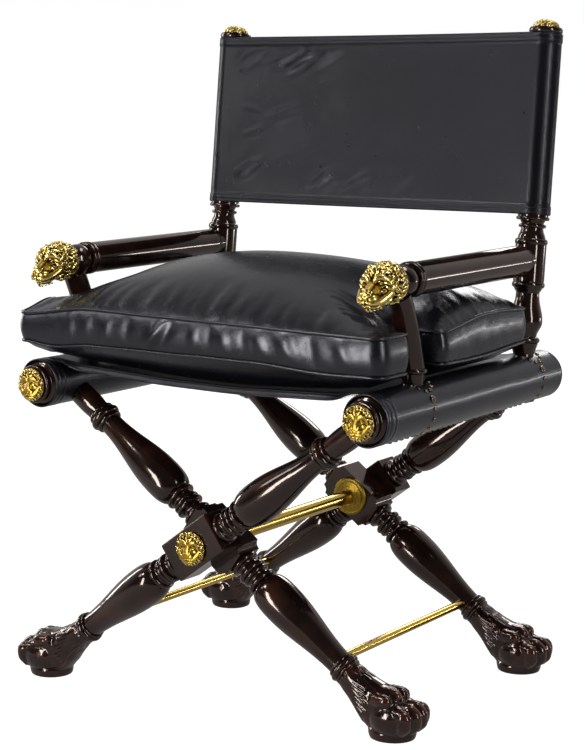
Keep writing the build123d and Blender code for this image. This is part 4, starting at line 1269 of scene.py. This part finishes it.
def inside_loop(loop, point):
    """Whether a point is inside the closed line."""
    x, y = point
    inside = False
    for index, here in enumerate(loop):
        before = loop[index - 1]
        if (here.y > y) != (before.y > y):
            crossing = (before.x - here.x) * (y - here.y) / (before.y - here.y) + here.x
            inside = inside != (x < crossing)
    return inside


# Settings of the cushion's cloth: a firm hide that the filling presses out for 20 frames.
cloth_settings = {
    "quality": 6,
    "mass": 0.4,
    "tension_stiffness": 18.0,
    "compression_stiffness": 9.0,
    "shear_stiffness": 7.0,
    "bending_stiffness": 0.35,
    "air_damping": 2.0,
    "use_pressure": True,
    "uniform_pressure_force": 4.0,
    "shrink_min": -0.002,
    "vertex_group_mass": "held",
}
cloth_frames, most_movement = 20, 9.0 * mm


def blown_up(data, seams, still):
    """The cover after its filling has pressed it out between the held seams."""
    draft = new_object("cushion_draft", data)
    held = draft.vertex_groups.new(name="held")
    held.add(sorted(set(seams[0] + seams[1] + still)), 1.0, "REPLACE")
    cloth = draft.modifiers.new("cloth", "CLOTH")
    for name, value in cloth_settings.items():
        setattr(cloth.settings, name, value)
    cloth.settings.effector_weights.gravity = 0.0
    cloth.collision_settings.use_collision = False
    start = np.zeros(3 * len(data.vertices))
    data.vertices.foreach_get("co", start)
    cloth.point_cache.frame_start = 1
    cloth.point_cache.frame_end = cloth_frames
    for frame_number in range(1, cloth_frames + 1):
        scene.frame_set(frame_number)
    settled = worked_in(draft)
    end = np.zeros(3 * len(settled.vertices))
    settled.vertices.foreach_get("co", end)
    moved = (end - start).reshape(-1, 3)
    length = np.linalg.norm(moved, axis=1, keepdims=True)
    moved *= np.minimum(1.0, most_movement / np.maximum(length, 1e-9))
    settled.vertices.foreach_set("co", (start.reshape(-1, 3) + moved).ravel())
    scene.frame_set(1)
    bpy.data.objects.remove(draft)
    return settled


def smoothed(data, name):
    """The mesh with one subdivision worked in."""
    draft = new_object(name, data)
    finer = draft.modifiers.new("finer", "SUBSURF")
    finer.levels = finer.render_levels = 1
    made = worked_in(draft)
    made.name = name
    bpy.data.objects.remove(draft)
    return made


def welt(mesh, line, radius):
    """A closed piping cord along a closed line, a little outside it."""
    rings = []
    for index, middle in enumerate(line):
        way = (line[(index + 1) % len(line)] - line[index - 1]).normalized()
        side = way.cross(Vector((0, 0, 1))).normalized()
        rings.append(round_ring(mesh, middle + side * 0.9, side, side.cross(way), radius, 10))
    skinned(mesh, rings + rings[:1])


cushion_mesh, cushion_seams, cushion_still = cushion_skin()
seam_lines = [[cushion_mesh.vertices[i].co * 1000 for i in seam] for seam in cushion_seams]
cushion_mesh = blown_up(cushion_mesh, cushion_seams, cushion_still)
cushion_mesh = smoothed(cushion_mesh, "cushion")
covered = ["cushion_cover", "cushion_fill"]
cushion = add_piece("cushion", cushion_mesh, cushion_leather, "cushion_cover", covered)
piping = bmesh.new()
for line in seam_lines:
    welt(piping, line, 2.1)
bmesh.ops.recalc_face_normals(piping, faces=piping.faces)
cushion_piping = trim_piece("cushion_piping", piping, cushion_leather, "cushion_cover")
folds_with_the_frame(cushion, cushion_piping)


# ---------------- the room
plain_light = 0.26  # strength of the world where it lights the chair
paper_shown, paper_mirrored = 0.97, 0.16  # strength of the floor to the camera, and its share in a shine
aim = Vector((0.0, 0.0, 0.5))
lamps = {  # place, width, height, power
    "window": ((-0.62, -2.1, 0.6), 0.34, 1.14, 25.0),
    "high_window": ((-1.8, -2.4, 2.8), 0.6, 0.6, 28.0),
    "strip_right": ((2.9, -0.7, 1.3), 0.3, 2.0, 34.0),
    "strip_left": ((-2.9, 0.0, 1.2), 0.25, 2.0, 26.0),
    "strip_behind": ((1.95, 2.8, 0.42), 0.6, 0.14, 5.0),
    "back_light": ((-1.3, -1.3, 1.2), 0.3, 0.4, 2.4),
    "top": ((0.5, 0.6, 2.9), 1.2, 0.6, 17.0),
    "rim": ((-0.9, 3.0, 1.9), 1.4, 0.7, 22.0),
}


def shown(tree):
    """1 for rays from the camera, and 1 for those in a reflection or through glass."""
    rays = add_node(tree, "ShaderNodeLightPath").outputs
    either = {0: rays["Is Glossy Ray"], 1: rays["Is Transmission Ray"]}
    mirrored = add_node(tree, "ShaderNodeMath", {"operation": "MAXIMUM"}, either)
    return rays["Is Camera Ray"], mirrored.outputs["Value"]


def paper_floor():
    """White paper floor, which shows as white as the backdrop and still takes a shadow."""
    sheet = bmesh.new()
    bmesh.ops.create_grid(sheet, x_segments=1, y_segments=1, size=30.0)
    floor = new_object("floor", to_data(sheet, "floor"))
    surface = {"Roughness": 0.9, "Base Color": linear("#868686"), "Specular IOR Level": 0.0}
    surface["Emission Color"] = linear("#ffffff")
    material, tree, shader = new_material("paper_floor", **surface)
    camera_ray, mirrored = shown(tree)
    rays = {0: mirrored, 1: paper_mirrored, 2: camera_ray}
    seen = add_node(tree, "ShaderNodeMath", {"operation": "MULTIPLY_ADD"}, rays).outputs["Value"]
    glow = add_node(tree, "ShaderNodeMath", {"operation": "MULTIPLY"}, {0: seen, 1: paper_shown})
    feed(tree, shader, {"Emission Strength": glow.outputs["Value"]})
    floor.data.materials.append(material)


def backdrop():
    """White to the camera, plain as a light, and in a shine dark in front and pale behind the chair."""
    world = bpy.data.worlds.new("studio")
    scene.world = world
    world.use_nodes = True
    tree = world.node_tree
    tree.nodes.clear()
    camera_ray, mirrored = shown(tree)
    towards = {0: add_node(tree, "ShaderNodeTexCoord").outputs["Generated"], 1: (-0.5, 0.8, 0.3)}
    behind = add_node(tree, "ShaderNodeVectorMath", {"operation": "DOT_PRODUCT"}, towards)
    rise = {"Value": behind.outputs["Value"], "From Max": 0.7, "To Min": 0.05, "To Max": 0.5}
    shine = add_node(tree, "ShaderNodeMapRange", inputs=rise)
    levels = {"Factor": mirrored, 2: plain_light, 3: shine.outputs["Result"]}
    lit = add_node(tree, "ShaderNodeMix", {"data_type": "FLOAT"}, levels).outputs[0]
    strength = add_node(tree, "ShaderNodeMath", {"operation": "MAXIMUM"}, {0: lit, 1: camera_ray})
    light = {"Color": linear("#ffffff"), "Strength": strength.outputs["Value"]}
    background = add_node(tree, "ShaderNodeBackground", inputs=light)
    add_node(tree, "ShaderNodeOutputWorld", inputs={"Surface": background.outputs["Background"]})


def light_up():
    """Soft square lamps, all turned to the middle of the chair."""
    for name, (place, width, height, power) in lamps.items():
        data = bpy.data.lights.new(name, "AREA")
        data.shape = "RECTANGLE"
        data.size = width
        data.size_y = height
        data.energy = power
        lamp = new_object(name, data)
        lamp.location = place
        lamp.rotation_mode = "QUATERNION"
        lamp.rotation_quaternion = (aim - Vector(place)).to_track_quat("-Z", "Y")


def camera():
    """Camera at the viewing angle from front right, a little above the arms."""
    azimuth, elevation, roll = radians(34.4049), radians(7.5083), -0.00384
    back = Vector((sin(azimuth) * cos(elevation), -cos(azimuth) * cos(elevation), sin(elevation)))
    level = Vector((cos(azimuth), sin(azimuth), 0.0))
    upright = back.cross(level)
    right = cos(roll) * level + sin(roll) * upright
    up = cos(roll) * upright - sin(roll) * level
    image_width, image_height = 585, 750
    focal_pixels = 1902.0
    centre_x, centre_y = 323.53 - image_width / 2, 326.98 - image_height / 2
    place = Matrix.Translation((1.58355, -2.23572, 0.86875))
    data = bpy.data.cameras.new("camera")
    data.sensor_width = 36.0
    data.lens = focal_pixels / image_height * data.sensor_width
    data.shift_x = -centre_x / image_height
    data.shift_y = centre_y / image_height
    view = new_object("camera", data)
    view.matrix_world = place @ Matrix([[right[i], up[i], back[i]] for i in range(3)]).to_4x4()
    scene.camera = view


paper_floor()
backdrop()
light_up()
camera()
scene.view_settings.view_transform = "Standard"
